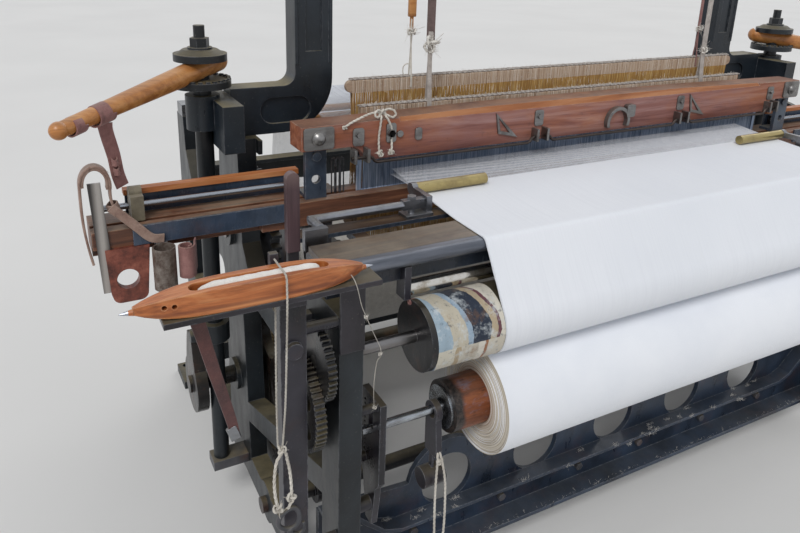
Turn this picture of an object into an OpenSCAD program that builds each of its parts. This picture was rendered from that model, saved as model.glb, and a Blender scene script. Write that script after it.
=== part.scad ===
// Overpick power loom for plain cloth, seen from the weaver's side.
// X runs along the loom, Y from the weaver to the warp beam, Z up from the floor.
// Inside the modules Y is counted from the front edge of the breast beam.

/* [Frame] */
// Distance from the loom's middle to the middle of an end frame
frame_x = 797; // [780:1:815]
// Thickness of an end frame
frame_t = 40; // [34:1:44]
// Height of the breast beam's top
beam_z = 850; // [835:1:865]
// Depth of the wooden board on the breast beam
board_d = 84; // [70:1:95]
// Thickness of the breast beam's board
board_t = 12; // [8:1:16]
// Radius of the breast beam's round front edge
nose_r = 12; // [9:1:14]
// Distance from the front edge to the front rail's web
rail_y = 150; // [140:1:165]
// Underside of the front rail
rail_z = 76; // [60:1:90]
// Height of the front rail up to its upper flange
rail_h = 94; // [84:1:104]
// Top of the rail's web above its underside
rail_web_h = 214; // [200:1:224]
// Radius of the round openings in the rail's web
rail_hole_r = 62; // [45:1:66]
// Spacing of the round openings in the rail's web
rail_hole_pitch = 240; // [190:5:250]
// Diameter of the bolt holes in the feet
foot_hole_d = 18; // [12:1:22]
// Width of each foot beyond the outside of its end frame
foot_lug = 44; // [36:1:60]

/* [Top arch] */
// Distance from the middle to the middle of an arch post
post_x = 637; // [625:1:650]
// Width of an arch post
post_w = 84; // [70:1:90]
// Front to back thickness of the arch
arch_t = 56; // [46:1:60]
// Height of the arch's top
arch_z = 1480; // [1440:5:1520]
// Top of the arch's foot arm
arm_z = 1026; // [1010:1:1040]
// Depth of the arch's foot arm
arm_h = 101; // [90:1:110]

/* [Slay] */
// Height of the rocking shaft
rock_z = 110; // [100:1:120]
// Distance of the rocking shaft from the front edge
rock_y = 365; // [360:1:370]
// Radius of the rocking shaft
rock_r = 18; // [14:0.5:22]
// Distance from the middle to the middle of a slay sword
sword_x = 690; // [684:1:696]
// Thickness of a slay sword
sword_t = 30; // [24:1:34]
// Half length of the race board
slay_half = 1118; // [1100:1:1130]
// Height of the race board's top
race_z = 835; // [828:1:840]
// Depth of the race board, top to bottom
race_h = 48; // [40:1:54]
// Half length of the slay cap
cap_half = 739; // [725:1:750]
// Top of the slay cap in the middle
cap_z = 990; // [980:1:1000]
// Depth of the slay cap in the middle, top to bottom
cap_h = 84; // [74:1:90]
// Depth of the slay cap at its ends, top to bottom
cap_end_h = 47; // [40:1:56]
// Front to back thickness of the slay cap
cap_t = 64; // [56:1:66]
// Half length of the reed
reed_half = 612; // [600:1:625]
// Thickness of the reed
reed_t = 6; // [4:0.5:7]
// Radius of a picker spindle
spindle_r = 6; // [5:0.5:8]
// Height of a picker spindle
spindle_z = 857; // [850:1:862]
// Inner end of a shuttle box
box_in = 742; // [735:1:760]
// Outer end of a shuttle box
box_out = 1052; // [1040:1:1060]
// Height of the steel box back above the race board
box_back_h = 38; // [30:1:44]

/* [Crank and tappet shafts] */
// Distance of the crankshaft from the front edge
crank_y = 574; // [571:1:578]
// Height of the crankshaft
crank_z = 700; // [696:1:703]
// Throw of the cranks
crank_throw = 38.5; // [34:0.5:40]
// Radius of the crankshaft
crank_r = 20; // [16:1:22]
// Radius of the crank pins
pin_r = 16; // [12:1:18]
// Distance from the middle to the middle of a crank arm
arm_x = 650; // [646:1:652]
// Distance of the tappet shaft from the front edge
tappet_y = 566; // [563:1:570]
// Height of the tappet shaft
tappet_z = 330; // [326:1:334]
// Radius of the tappet shaft
tappet_r = 20; // [16:1:22]
// Teeth of the crankshaft's pinion
pinion_teeth = 30; // [26:2:34]
// Face width of the two driving gears
gear_w = 22; // [16:1:24]
// Radius of the driving pulleys
pulley_r = 115; // [100:1:125]
// Face width of each driving pulley
pulley_w = 48; // [40:1:50]
// Radius of the hand wheel
wheel_r = 150; // [130:1:160]

/* [Picking] */
// Distance from the middle to a picking shaft
pick_x = 875; // [872:1:880]
// Distance of the picking shafts from the front edge
pick_y = 520; // [516:1:523]
// Radius of a picking shaft
pick_r = 18; // [14:1:20]
// Height of the head that clamps the picking stick
head_z = 1036; // [1030:1:1045]
// Length of a picking stick in front of its shaft
stick_len = 352; // [330:1:370]
// Radius of a picking stick at its butt
stick_r = 21; // [17:1:23]

/* [Cloth and take-up] */
// Half width of the cloth
cloth_half = 533; // [500:1:540]
// Height of the take-up roller
takeup_z = 710; // [706:1:714]
// Radius of the take-up roller
takeup_r = 60; // [54:1:62]
// Radius of the rolled cloth
roll_r = 104; // [90:1:106]
// Radius of the wooden cloth roller
core_r = 47; // [40:1:52]
// Radius of the cloth roller's end pins
gudgeon_r = 8; // [6:0.5:9]
// Radius of the steel tube over the take-up roller
tube_r = 13; // [10:1:15]
// Thickness of the cloth
cloth_t = 1.5; // [1:0.1:2]

/* [Healds and warp] */
// Distance of the front heald from the front edge
heald_y = 405; // [404:1:408]
// Spacing of the two healds
heald_gap = 45; // [40:1:50]
// Height of the lowered front heald's upper stave, at its top
stave_z = 977; // [970:1:985]
// How far the healds are apart in height
heald_lift = 65; // [50:1:70]
// Height of a stave
stave_h = 26; // [20:1:30]
// Thickness of a stave
stave_t = 11; // [8:1:12]
// Half length of a stave
stave_half = 594; // [580:1:605]
// Distance between the staves of one heald
heald_h = 300; // [270:5:320]
// Spacing of the warp ribbons
warp_pitch = 20; // [18:1:24]
// Width of a warp ribbon
warp_w = 7; // [5:0.5:9]
// Distance of the warp beam from the front edge
wbeam_y = 1010; // [1000:1:1015]
// Height of the warp beam
wbeam_z = 330; // [315:1:345]
// Radius of the warp beam's flanges
wflange_r = 227; // [210:1:227]
// Radius of the yarn on the warp beam
yarn_r = 190; // [150:1:200]
// Radius of the back rest
rest_r = 38; // [30:1:42]

/* [Front fittings] */
// Length of the shuttle
shuttle_len = 344; // [320:1:360]
// Width of the shuttle
shuttle_w = 42; // [36:1:46]
// Height of the shuttle
shuttle_h = 34; // [28:1:38]
// Top of the flat bar under the shuttle
rest_z = 865; // [858:1:872]
// Thickness of the flat bar under the shuttle
rest_t = 8; // [6:1:12]
// Radius of a temple's roller
temple_r = 11; // [9:0.5:12]
// Length of a temple's roller
temple_len = 160; // [140:1:180]

/* [Hidden] */
$fn = 64;

// Running clearance on a radius, and the gap between bodies that pass each other
fit = 0.05;
gap = 0.4;
// The object's middle, front to back, counted from the breast beam's front edge
mid_y = (wbeam_y + wflange_r - roll_r) / 2;
frame_in = frame_x - frame_t / 2;
frame_out = frame_x + frame_t / 2;
post_top = beam_z - board_t - 48;
post_front = -40;
pillar_z = arm_z - arm_h;
// Gears of the two main shafts
main_dist = norm([tappet_y - crank_y, crank_z - tappet_z]);
gear_teeth = 2 * pinion_teeth;
gear_m = 2 * main_dist / (pinion_teeth + gear_teeth);
mesh_dir = atan2(tappet_z - crank_z, tappet_y - crank_y);
gear_x = frame_in - 15;
// Take-up train
take_m = 3;
carrier_t1 = 16;
carrier_t2 = 50;
wheel_t = 40;
change_t = 14;
takeup_y = -13;
tube_z = takeup_z + 71;
carrier_y = takeup_y + 20;
carrier_z = takeup_z - sqrt(pow(take_m * (wheel_t + carrier_t1) / 2, 2) - 400);
ratchet_y = carrier_y + 60;
ratchet_z = carrier_z - sqrt(pow(take_m * (carrier_t2 + change_t) / 2, 2) - 3600);
// Cloth roller hangs against the underside of the take-up roller
roll_dist = takeup_r + gap + cloth_t + gap + roll_r;
roll_y = 0;
roll_z = takeup_z - sqrt(roll_dist * roll_dist - takeup_y * takeup_y);
// Fell of the cloth and the reed
fell_y = 243;
fell_z = beam_z + 10;
reed_y = rock_y - 17;
cap_y = rock_y - 43;
race_y0 = cap_y;
race_y1 = rock_y + 43;
spindle_y = rock_y + 13;
box_back_y = race_y1 - 16;
arm_pin_y = rock_y;
crank_pin_y = crank_y + crank_throw;
ribbons = floor(cloth_half / warp_pitch);
lease_y = 760;
rest_y = wbeam_y + 60;
rest_h = beam_z + 10;
guard_z = cap_z - cap_h + 3;
guard_y = cap_y - 14;
picker_x = box_out - 4;
footstep_z = 150;
stick_a = 218;
stick_drop = 8;
stick_z = head_z + 36;
cord_r = 1.3;
loop_route = [[-914, -34, 904], [-914, -41, 904], [-914, -62, 902.4], [-914, -80, 902], [-914, -85, 900.6],
    [-914, -87.6, 896], [-914, -88, 884], [-913, -88, 860], [-911, -84, 800], [-906, -74, 700],
    [-900, -65, 600], [-897, -61, 556], [-900, -60, 520], [-903, -60, 460], [-902, -60, 415],
    [-896, -60, 398], [-889, -60, 415], [-887, -60, 460], [-889, -58, 520], [-892, -56, 556],
    [-896, -57, 600], [-904, -58, 700], [-912, -60, 790], [-917, -61, 840], [-918, -61, 856.7]];
hook_route = [[-620, -14, 474], [-621, -24, 466], [-623, -28, 446], [-624, -28, 400], [-622, -27, 330],
    [-618, -26, 255], [-614, -25, 208], [-610, -24, 198], [-606, -25, 208], [-602, -26, 255],
    [-601, -28, 320], [-604, -28, 400], [-612, -28, 446], [-616, -24, 466], [-617, -14, 474]];

module loom() { translate([0, -mid_y, 0]) children(); }
module both() {
    children();
    mirror([1, 0, 0]) children();
}
module yz(x0, x1) { translate([x0, 0, 0]) rotate([90, 0, 90]) linear_extrude(x1 - x0) children(); }
module xz(y0, y1) { translate([0, y1, 0]) rotate([90, 0, 0]) linear_extrude(y1 - y0) children(); }
module rod_x(x0, x1, y, z, r) { translate([x0, y, z]) rotate([0, 90, 0]) cylinder(h = x1 - x0, r = r); }
module rod_y(y0, y1, x, z, r) { translate([x, y0, z]) rotate([-90, 0, 0]) cylinder(h = y1 - y0, r = r); }
module block(a, b) { translate(a) cube(b - a); }
module rod(p, q, r, r2 = -1) {
    d = q - p;
    translate(p) rotate([0, acos(d[2] / norm(d)), atan2(d[1], d[0])])
        cylinder(h = norm(d), r1 = r, r2 = r2 < 0 ? r : r2);
}
function arc(cx, cy, r, a0, a1, n = 12) =
    [for (i = [0 : n]) let (a = a0 + (a1 - a0) * i / n) [cx + r * cos(a), cy + r * sin(a)]];
// Angle at which a belt leaves circle a for circle b, on the side s
function tangent_at(a, ra, b, rb, s) = atan2(b[1] - a[1], b[0] - a[0]) + s * acos((ra - rb) / norm(b - a));
// Straight-sided gear with n teeth of module m, one tooth centred on angle a
function gear_points(n, m, a) = [for (i = [0 : n - 1]) let (c = a + 360 * i / n, p = 360 / n)
    for (q = [[-0.29, -1.15], [-0.12, 0.72], [0.12, 0.72], [0.29, -1.15]])
        (n * m / 2 + m * q[1]) * [cos(c + p * q[0]), sin(c + p * q[0])]];
// An ellipse as a ring of points
function oval(cx, cy, rx, ry) = [for (i = [0 : 31]) [cx + rx * cos(i * 11.25), cy + ry * sin(i * 11.25)]];
module hexhead(h, r) { cylinder(h = h, r = r, $fn = 6); }

// Tube along a route: one closed skin with eight sides
function tube_dir(p, i) = let (a = p[max(0, i - 1)], b = p[min(len(p) - 1, i + 1)]) (b - a) / norm(b - a);
function tube_ring(p, i, r) = let (t = tube_dir(p, i), u = cross(t, [1, 0.02, 0.01]), v = cross(t, u / norm(u)))
    [for (k = [0 : 7]) p[i] + r * (cos(45 * k) * u / norm(u) + sin(45 * k) * v)];
function spline(p, i, t) = let (a = p[max(0, i - 1)], b = p[i], c = p[i + 1], d = p[min(len(p) - 1, i + 2)])
    0.5 * (2 * b + (c - a) * t + (2 * a - 5 * b + 4 * c - d) * t * t + (3 * b - a - 3 * c + d) * t * t * t);
function smooth(p, n) = concat([for (i = [0 : len(p) - 2]) for (k = [0 : n - 1]) spline(p, i, k / n)],
    [p[len(p) - 1]]);
module tube(p, r) {
    n = len(p);
    polyhedron(
        points = [for (i = [0 : n - 1]) each tube_ring(p, i, r)],
        faces = concat(
            [[for (k = [0 : 7]) k]],
            [for (i = [0 : n - 2]) for (k = [0 : 7])
                [i * 8 + k, (i + 1) * 8 + k, (i + 1) * 8 + (k + 1) % 8, i * 8 + (k + 1) % 8]],
            [[for (k = [7 : -1 : 0]) (n - 1) * 8 + k]]));
}

// End frame: one casting with two tall windows, shaft bosses and an upright for the arch
module frame_profile() {
    difference() {
        union() {
            polygon([[post_front - 25, 0], [110, 0], [110, 24], [70, 44], [110, 86], [wbeam_y + 10, 86],
                [wbeam_y + 50, 44], [wbeam_y + 20, 24], [wbeam_y + 20, 0], [wbeam_y + 130, 0],
                [wbeam_y + 130, 24], [wbeam_y + 96, 50], [wbeam_y + 96, rest_h - 10],
                [wbeam_y + 24, rest_h - 10], [wbeam_y + 10, 760], [940, 650], [690, 640], [656, 700],
                [640, pillar_z], [492, pillar_z], [480, 700], [440, 650], [190, 640], [110, 700],
                [96, post_top], [post_front, post_top], [post_front, 50], [post_front - 25, 24]]);
            translate([rock_y, rock_z]) circle(r = 42);
            translate([wbeam_y, wbeam_z]) circle(r = 52);
        }
        difference() {
            polygon(concat([[30, 150], [rock_y + 110, 150]], arc(rock_y + 100, 560, 30, 0, 90),
                [[180, 590], [96, 650], [30, 690]]));
            translate([rock_y, rock_z]) circle(r = 52);
            polygon([[20, 470], [20, 420], [rock_y + 120, 250], [rock_y + 120, 300]]);
            translate([carrier_y + 60, ratchet_z]) circle(r = 26);
            polygon([[20, ratchet_z - 40], [20, ratchet_z + 40], [carrier_y + 60, ratchet_z + 22],
                [carrier_y + 60, ratchet_z - 22]]);
        }
        difference() {
            polygon(concat([[tappet_y + 76, 150], [wbeam_y + 30, 150], [wbeam_y + 30, 560]],
                arc(wbeam_y, 560, 30, 0, 90), arc(tappet_y + 106, 560, 30, 90, 180)));
            translate([wbeam_y, wbeam_z]) circle(r = 52);
            translate([tappet_y, tappet_z]) circle(r = 56);
            polygon([[tappet_y + 60, 560], [tappet_y + 60, 510], [wbeam_y + 40, 200], [wbeam_y + 40, 250]]);
        }
        translate([rock_y, rock_z]) circle(r = rock_r + fit);
        translate([crank_y, crank_z]) circle(r = crank_r + fit);
        translate([tappet_y, tappet_z]) circle(r = tappet_r + fit);
        translate([wbeam_y, wbeam_z]) circle(r = 15 + fit);
        translate([takeup_y, takeup_z]) circle(r = 10 + fit);
    }
}
module shaft_boss(y, z, r, hole) {
    for (x = [frame_in - 10, frame_out]) yz(x, x + 10) translate([y, z]) difference() {
        circle(r = r);
        circle(r = hole + fit);
    }
}
module end_frame() {
    difference() {
        union() {
            yz(frame_in, frame_out) frame_profile();
            shaft_boss(crank_y, crank_z, 38, crank_r);
            shaft_boss(tappet_y, tappet_z, 38, tappet_r);
            shaft_boss(wbeam_y, wbeam_z, 36, 15);
            yz(frame_in, frame_out + foot_lug) polygon([[post_front - 25, 0], [110, 0], [110, 24],
                [post_front - 25, 24]]);
            yz(frame_in, frame_out + foot_lug) polygon([[wbeam_y + 20, 0], [wbeam_y + 130, 0],
                [wbeam_y + 130, 24], [wbeam_y + 20, 24]]);
            yz(frame_in - 8, frame_in) polygon([[472, pillar_z - 30], [652, pillar_z - 30],
                [660, pillar_z], [470, pillar_z]]);
        }
        for (y = [82, wbeam_y + 112]) translate([frame_out + foot_lug / 2, y, -1]) cylinder(h = 26, d = foot_hole_d);
    }
}
module frame_left() loom() color("#23252c") mirror([1, 0, 0]) end_frame();
module frame_right() loom() color("#23252c") end_frame();

// Two gooseneck castings with round elbows, the rail between them and the picking shaft bearings
arch_y = 545;
module gooseneck() {
    xi = post_x - post_w / 2;
    xo = post_x + post_w / 2;
    difference() {
        xz(arch_y - arch_t / 2, arch_y + arch_t / 2) polygon(concat(
            [[xi, arch_z - 96], [xi, arm_z + 30]], arc(xi + 112, arm_z + 11, 112, 180, 270, 16),
            [[frame_out + 2, pillar_z], [frame_out + 2, arm_z]],
            arc(xo + 26, arm_z + 26, 26, 270, 180, 8), [[xo, arch_z - 50]],
            arc(xo - 50, arch_z - 50, 50, 0, 90, 10), [[xi + 10, arch_z], [xi - 30, arch_z],
            [xi - 30, arch_z - 66]], arc(xi - 30, arch_z - 96, 30, 90, 0, 8)));
        // sunk oval panel in the front of the foot arm, and a long panel up the post
        xz(arch_y - arch_t / 2 - 1, arch_y - arch_t / 2 + 6) union() {
            translate([post_x + 64, arm_z - 52]) square([56, 56], center = true);
            translate([post_x + 36, arm_z - 52]) circle(r = 28);
            translate([post_x + 92, arm_z - 52]) circle(r = 28);
        }
        xz(arch_y - arch_t / 2 - 1, arch_y - arch_t / 2 + 4)
            translate([post_x - 18, arm_z + 70]) square([36, arch_z - arm_z - 220]);
    }
    // bead down both edges of the post
    for (x = [xi + 4, xo - 4]) translate([x, arch_y - arch_t / 2, arm_z + 44])
        cylinder(h = arch_z - arm_z - 150, r = 4);
    // bearing block of the picking shaft
    difference() {
        union() {
            block([frame_out + 2, pick_y - 100, arm_z - 108], [frame_out + 43, arch_y + 40, arm_z - 14]);
            translate([pick_x, pick_y, arm_z - 76]) cylinder(h = 70, r = pick_r + 16);
            block([frame_out + 20, pick_y - 28, arm_z - 70], [pick_x, pick_y + 28, arm_z - 16]);
        }
        translate([pick_x, pick_y, arm_z - 150]) cylinder(h = 200, r = pick_r + fit);
    }
}
module top_rail() {
    xi = post_x - post_w / 2 - 30;
    block([-xi, arch_y - 26, arch_z - 58], [xi, arch_y - 12, arch_z]);
    block([-xi, arch_y - 12, arch_z - 14], [xi, arch_y + 24, arch_z]);
    // two bearings that hold the top roller out in front
    for (x = [-520, 512]) difference() {
        union() {
            block([x, heald_y + heald_gap / 2, arch_z - 84], [x + 8, arch_y - 26, arch_z - 50]);
            rod_x(x, x + 8, heald_y + heald_gap / 2, arch_z - 67, 17);
        }
        rod_x(x - 1, x + 9, heald_y + heald_gap / 2, arch_z - 67, 8 + fit);
    }
}
module top_arch() loom() color("#20222a") {
    both() gooseneck();
    top_rail();
}

// Front rail: flanged casting with round openings and ends that sweep up
module front_rail() loom() color("#2b303c") {
    xe = frame_in;
    difference() {
        xz(rail_y, rail_y + 12) difference() {
            polygon(concat([[-xe, rail_z - 10], [xe, rail_z - 10], [xe, rail_z + 180]],
                [for (i = [2 : -1 : -2]) each arc(i * rail_hole_pitch, rail_z + rail_web_h - 60, 96, 8, 172, 10)],
                [[-xe, rail_z + 180]]));
            for (i = [-2 : 2]) translate([i * rail_hole_pitch, rail_z + rail_h + 54]) circle(r = rail_hole_r);
        }
    }
    // upper flange, swept up at both ends
    xz(rail_y - 34, rail_y) polygon(concat([[-xe, rail_z + rail_h + 92], [-730, rail_z + rail_h + 84],
        [-690, rail_z + rail_h + 44], [-650, rail_z + rail_h + 8], [-610, rail_z + rail_h - 8]],
        [[610, rail_z + rail_h - 8], [650, rail_z + rail_h + 8], [690, rail_z + rail_h + 44],
        [730, rail_z + rail_h + 84], [xe, rail_z + rail_h + 92], [xe, rail_z + rail_h + 100],
        [724, rail_z + rail_h + 92], [682, rail_z + rail_h + 50], [644, rail_z + rail_h + 14],
        [604, rail_z + rail_h], [-604, rail_z + rail_h], [-644, rail_z + rail_h + 14],
        [-682, rail_z + rail_h + 50], [-724, rail_z + rail_h + 92], [-xe, rail_z + rail_h + 100]]));
    block([-xe, rail_y - 48, rail_z], [xe, rail_y, rail_z + 10]);
}
module back_rail() loom() color("#23252c") {
    y = wbeam_y + 60;
    block([-frame_in, y, 620], [frame_in, y + 12, 700]);
    block([-frame_in, y - 30, 690], [frame_in, y, 700]);
    block([-frame_in, y, rail_z - 30], [frame_in, y + 12, rail_z + 28]);
}
module back_rest() loom() color("#6b6e72") {
    rod_x(-frame_in + 40, frame_in - 40, rest_y, rest_h, rest_r);
    both() {
        rod_x(frame_in - 40, frame_in - 22, rest_y, rest_h, 24);
        difference() {
            block([frame_in - 22, rest_y - 34, rest_h - 10], [frame_out, rest_y + 26, rest_h + 34]);
            block([frame_in, rest_y - 40, rest_h + 22], [frame_out + 1, rest_y + 30, rest_h + 40]);
        }
    }
}

// Breast beam: casting with a round front edge under a wooden board
module breast_beam() loom() color("#3c4250") {
    top = beam_z - board_t;
    yz(-frame_out + 4, frame_out - 4) union() {
        translate([nose_r, beam_z - nose_r]) circle(r = nose_r);
        polygon([[nose_r, top - 12], [nose_r + board_d + 6, top - 12], [nose_r + board_d + 6, top],
            [2 * nose_r, top], [2 * nose_r, beam_z], [nose_r, beam_z]]);
        polygon([[nose_r + 10, top - 40], [nose_r + 22, top - 40], [nose_r + 22, top - 10],
            [nose_r + 10, top - 10]]);
    }
    both() block([frame_in - 4, nose_r + 10, top - 48], [frame_out - 4, nose_r + board_d, top - 10]);
    // plate behind the slot that carries the temples
    block([-frame_out + 4, 148, beam_z - 16], [frame_out - 4, 184, beam_z - 8]);
    both() for (x = [frame_in - 90, 220]) block([x, nose_r + board_d - 10, beam_z - 30],
        [x + 26, 170, beam_z - 16]);
    both() block([frame_in - 4, nose_r + board_d, top - 48], [frame_out - 4, nose_r + board_d + 12, beam_z - 16]);
}
module breast_board() loom() color("#6a5238")
    block([-frame_out + 4, 2 * nose_r, beam_z - board_t], [frame_out - 4, nose_r + board_d, beam_z]);

// Temples: a forked arm at each selvedge with a roller over the cloth
temple_y = 222;
temple_z = fell_z + temple_r + 1.2;
temple_in = cloth_half - temple_len + 12;
module temple_arm() {
    xe = temple_in + temple_len;
    difference() {
        union() {
            rod_x(xe + gap, xe + 12, temple_y, temple_z, temple_r + 1);
            block([xe + 2, 160, temple_z - 8], [xe + 12, temple_y, temple_z + 6]);
            block([xe + 2, 150, beam_z - 8], [xe + 58, 182, beam_z - 2]);
            block([xe + 2, 156, beam_z - 2], [xe + 14, 178, temple_z + 6]);
            block([xe + 14, 160, beam_z + 6], [xe + 60, 174, temple_z + 2]);
        }
        rod_x(xe - 1, xe + 9, temple_y, temple_z, 5 + fit);
    }
    // hexagon bolt that clamps the arm to its plate
    translate([xe + 40, 166, temple_z + 2]) hexhead(7, 9);
    translate([xe + 40, 166, beam_z - 2]) cylinder(h = 8, r = 6);
}
module temple_arms() loom() {
    color("#8d8f90") both() temple_arm();
    // round steel rod that runs from the left temple to the starting side
    color("#9fb2bd") {
        xe = temple_in + temple_len;
        rod_x(-786, -xe - 58, 167, temple_z - 8, 8);
        rod_y(124, 167, -780, temple_z - 8, 8);
        block([-813, 112, beam_z - 16], [-772, 124, temple_z - 2]);
    }
}
module temple_roller() {
    rod_x(temple_in, temple_in + temple_len, temple_y, temple_z, temple_r);
    rod_x(temple_in + temple_len, temple_in + temple_len + 8.5, temple_y, temple_z, 5);
}
module temple_roller_left() loom() color("#9c8448") mirror([1, 0, 0]) temple_roller();
module temple_roller_right() loom() color("#9c8448") temple_roller();

// Brackets of the take-up side: toothed slot plates for the cloth roller and the outer post
module slot_plate() {
    x = frame_in - 47;
    yz(x, x + 12) difference() {
        polygon([[-34, 608], [-34, 452], [-22, 436], [-10, 352], [12, 352], [26, 436], [34, 452],
            [34, 608]]);
        polygon([[-gudgeon_r - fit, 600], [-gudgeon_r - fit, roll_z], [gudgeon_r + fit, roll_z],
            [gudgeon_r + fit, 600]]);
        translate([0, roll_z]) circle(r = gudgeon_r + fit);
        for (z = [460 : 9 : 590]) polygon([[20, z], [27, z + 2], [20, z + 6]]);
    }
    rod_x(x + 12, frame_in, 20, 625 - 150, 9);
    rod_x(x + 12, frame_in, -20, 600, 8);
    // round steel cross tie below the plate
    rod_x(x + 12, frame_in, 0, 392, 13);
}
module outer_post() {
    x = 869;
    yz(x, x + 40) polygon([[post_front, 330], [post_front + 22, 330], [post_front + 22, 690],
        [post_front + 15, 700], [post_front + 15, rest_z - rest_t], [post_front, rest_z - rest_t]]);
    for (z = [post_top - 9, 380]) rod_x(frame_out, x, post_front + 9, z, 8.5);
    rod_y(post_front - 8, post_front, x + 20, 757, 13);
    rod_x(frame_out, x - 2, carrier_y, carrier_z, 8);
    rod_x(frame_out, x - 2, ratchet_y, ratchet_z, 8);
}
module roller_brackets() loom() {
    color("#2c2e36") both() slot_plate();
    color("#2c2e36") mirror([1, 0, 0]) outer_post();
    // polished tube over the take-up roller, held from the breast beam
    color("#aeb2b5") rod_x(-671, 671, 20, tube_z, tube_r);
    top = beam_z - board_t;
    color("#2c2e36") both() yz(671, 683) polygon([[6, tube_z - 14], [34, tube_z - 14], [34, top - 40 - gap],
        [nose_r + 10, top - 40 - gap], [nose_r + 10, top - 12], [6, top - 12]]);
    // hooked link and its round weight at the left end of the cloth roller
    color("#2c2e36") mirror([1, 0, 0]) {
        yz(612, 624) difference() {
            union() {
                circle_at(0, roll_z - 4.2, 20);
                polygon([[-16, roll_z - 4.2], [-24, 470], [-20, 456], [16, 456], [18, roll_z - 4.2]]);
            }
            circle_at(0, roll_z - 4.2, 12.4);
        }
        yz(616, 620) polygon([[-6, 458], [-6, 400], [6, 400], [6, 458]]);
        rod_x(596, 640, 0, 404, 20);
    }
}
module circle_at(y, z, r) { translate([y, z]) circle(r = r); }

// Flat bar in front of the breast beam with the shuttle lying on it
shuttle_x = -948;
shuttle_y = -62;
cop_lift = 5.4;
module shuttle_rest() loom() color("#34343a") {
    block([-1072, shuttle_y - 22, rest_z - rest_t], [-770, shuttle_y + 24, rest_z]);
    block([-909, shuttle_y + 18, rest_z - rest_t - 30], [-869, post_front, rest_z - rest_t]);
    block([-frame_out, shuttle_y + 18, post_top - 60], [-frame_in, post_front, rest_z - rest_t]);
    // small upright behind the shuttle that the string is tied to
    block([-920, shuttle_y + 24, rest_z - rest_t], [-908, shuttle_y + 34, rest_z + 47]);
}
module shuttle_plan() {
    h = shuttle_len / 2 - 16;
    w = shuttle_w / 2;
    polygon([for (i = [-12 : 12]) [h * i / 12, w * (1 - 0.86 * pow(abs(i) / 12, 3.2))],
        for (i = [12 : -1 : -12]) [h * i / 12, -w * (1 - 0.86 * pow(abs(i) / 12, 3.2))]]);
}
module shuttle_side() {
    h = shuttle_len / 2 - 16;
    w = shuttle_h / 2;
    polygon([for (i = [-12 : 12]) [h * i / 12, w * (1 - 0.8 * pow(abs(i) / 12, 3.4))],
        for (i = [12 : -1 : -12]) [h * i / 12, -w * (1 - 0.66 * pow(abs(i) / 12, 5))]]);
}
module shuttle() loom() translate([shuttle_x, shuttle_y, rest_z + shuttle_h / 2]) {
    h = shuttle_len / 2 - 16;
    color("#b0642c") difference() {
        intersection() {
            linear_extrude(shuttle_h, center = true) shuttle_plan();
            xz(-shuttle_w, shuttle_w) shuttle_side();
        }
        // hollow for the cop, and the two eyes in the front wall
        translate([8, 0, 0]) xz_slot();
        for (x = [-h + 36, -h + 48]) translate([x, 0, 1]) rotate([90, 0, 0]) cylinder(h = 40, r = 3.2);
    }
    color("#c9ccd0") for (s = [-1, 1]) translate([s * (h - 1), 0, -3]) rotate([0, s * 90, 0])
        cylinder(h = 17, r1 = 4.6, r2 = 0.8);
}
module xz_slot() {
    translate([0, 0, cop_lift - 11.7]) linear_extrude(40) union() {
        square([170, 21], center = true);
        for (x = [-85, 85]) translate([x, 0]) circle(r = 10.5);
    }
}
module shuttle_cop() loom() translate([shuttle_x + 8, shuttle_y, rest_z + shuttle_h / 2 + cop_lift - 2]) color("#e6dfd3")
    rotate([0, 90, 0]) rotate_extrude() polygon([[0, -84], [5, -84], [9.2, -60], [9.6, 40], [4, 88],
        [0, 88]]);

// Starting handle at the left of the breast beam
handle_x = -852;
handle_y = 62;
handle_pivot = 730;
module starting_handle() loom() {
    color("#6f4b30") translate([handle_x, handle_y, beam_z + 14]) union() {
        translate([-10, -7, 0]) cube([20, 14, 118]);
        translate([0, 7, 118]) rotate([90, 0, 0]) cylinder(h = 14, r = 10);
    }
    color("#4a4d52") {
        block([handle_x - 9, handle_y - 4, handle_pivot + 14], [handle_x + 9, handle_y + 4, beam_z + 14]);
        difference() {
            rod_y(handle_y - 8, handle_y + 8, handle_x, handle_pivot, 18);
            rod_y(handle_y - 9, handle_y + 9, handle_x, handle_pivot, 8 + fit);
        }
    }
}

// Fixed pins and bolts of the frame
module frame_bolts() loom() color("#4c4f55") {
    // pivot pin of the starting handle
    rod_y(handle_y - 8, handle_y + 26, handle_x, handle_pivot, 8);
    block([handle_x - 12, handle_y + 9, handle_pivot - 12], [-frame_out, handle_y + 26, handle_pivot + 12]);
    // pivot pins of the treadles
    for (x = treadle_xs) {
        rod_x(x - 22, x + 22, treadle_y, treadle_z, 9);
        for (s = [-1, 1]) block([x + s * 19 - 4, treadle_y - 14, treadle_z - 18],
            [x + s * 19 + 4, wbeam_y + 60, treadle_z + 16]);
    }
    // bolts that hold the front rail to the frames and the rail's own bolts
    for (x = [-560, -330, -100, 100, 330, 560]) translate([x, rail_y, rail_z + 42]) rotate([90, 0, 0])
        hexhead(9, 10);
    // caps of the footsteps that carry the picking shafts
    both() block([frame_out, pick_y - 24, footstep_z - 24], [pick_x + 24, pick_y + 24, footstep_z - gap]);
}
treadle_xs = [-34, 34];
treadle_y = 955;
treadle_z = 110;
treadle_rise = 95;
cam_r = 74;
cam_throw = 23;
bowl_r = 24;
bowl_z = tappet_z - cam_r - 3 - bowl_r;
treadle_drop = atan(heald_lift / (treadle_y - heald_y));

module lease_rods() loom() color("#9a6b3c")
    for (i = [0 : 1]) rod_x(-cloth_half - 90, cloth_half + 90, lease_y + 70 * i, sheet_z(lease_y + 70 * i) + 10.6, 9);

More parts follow.
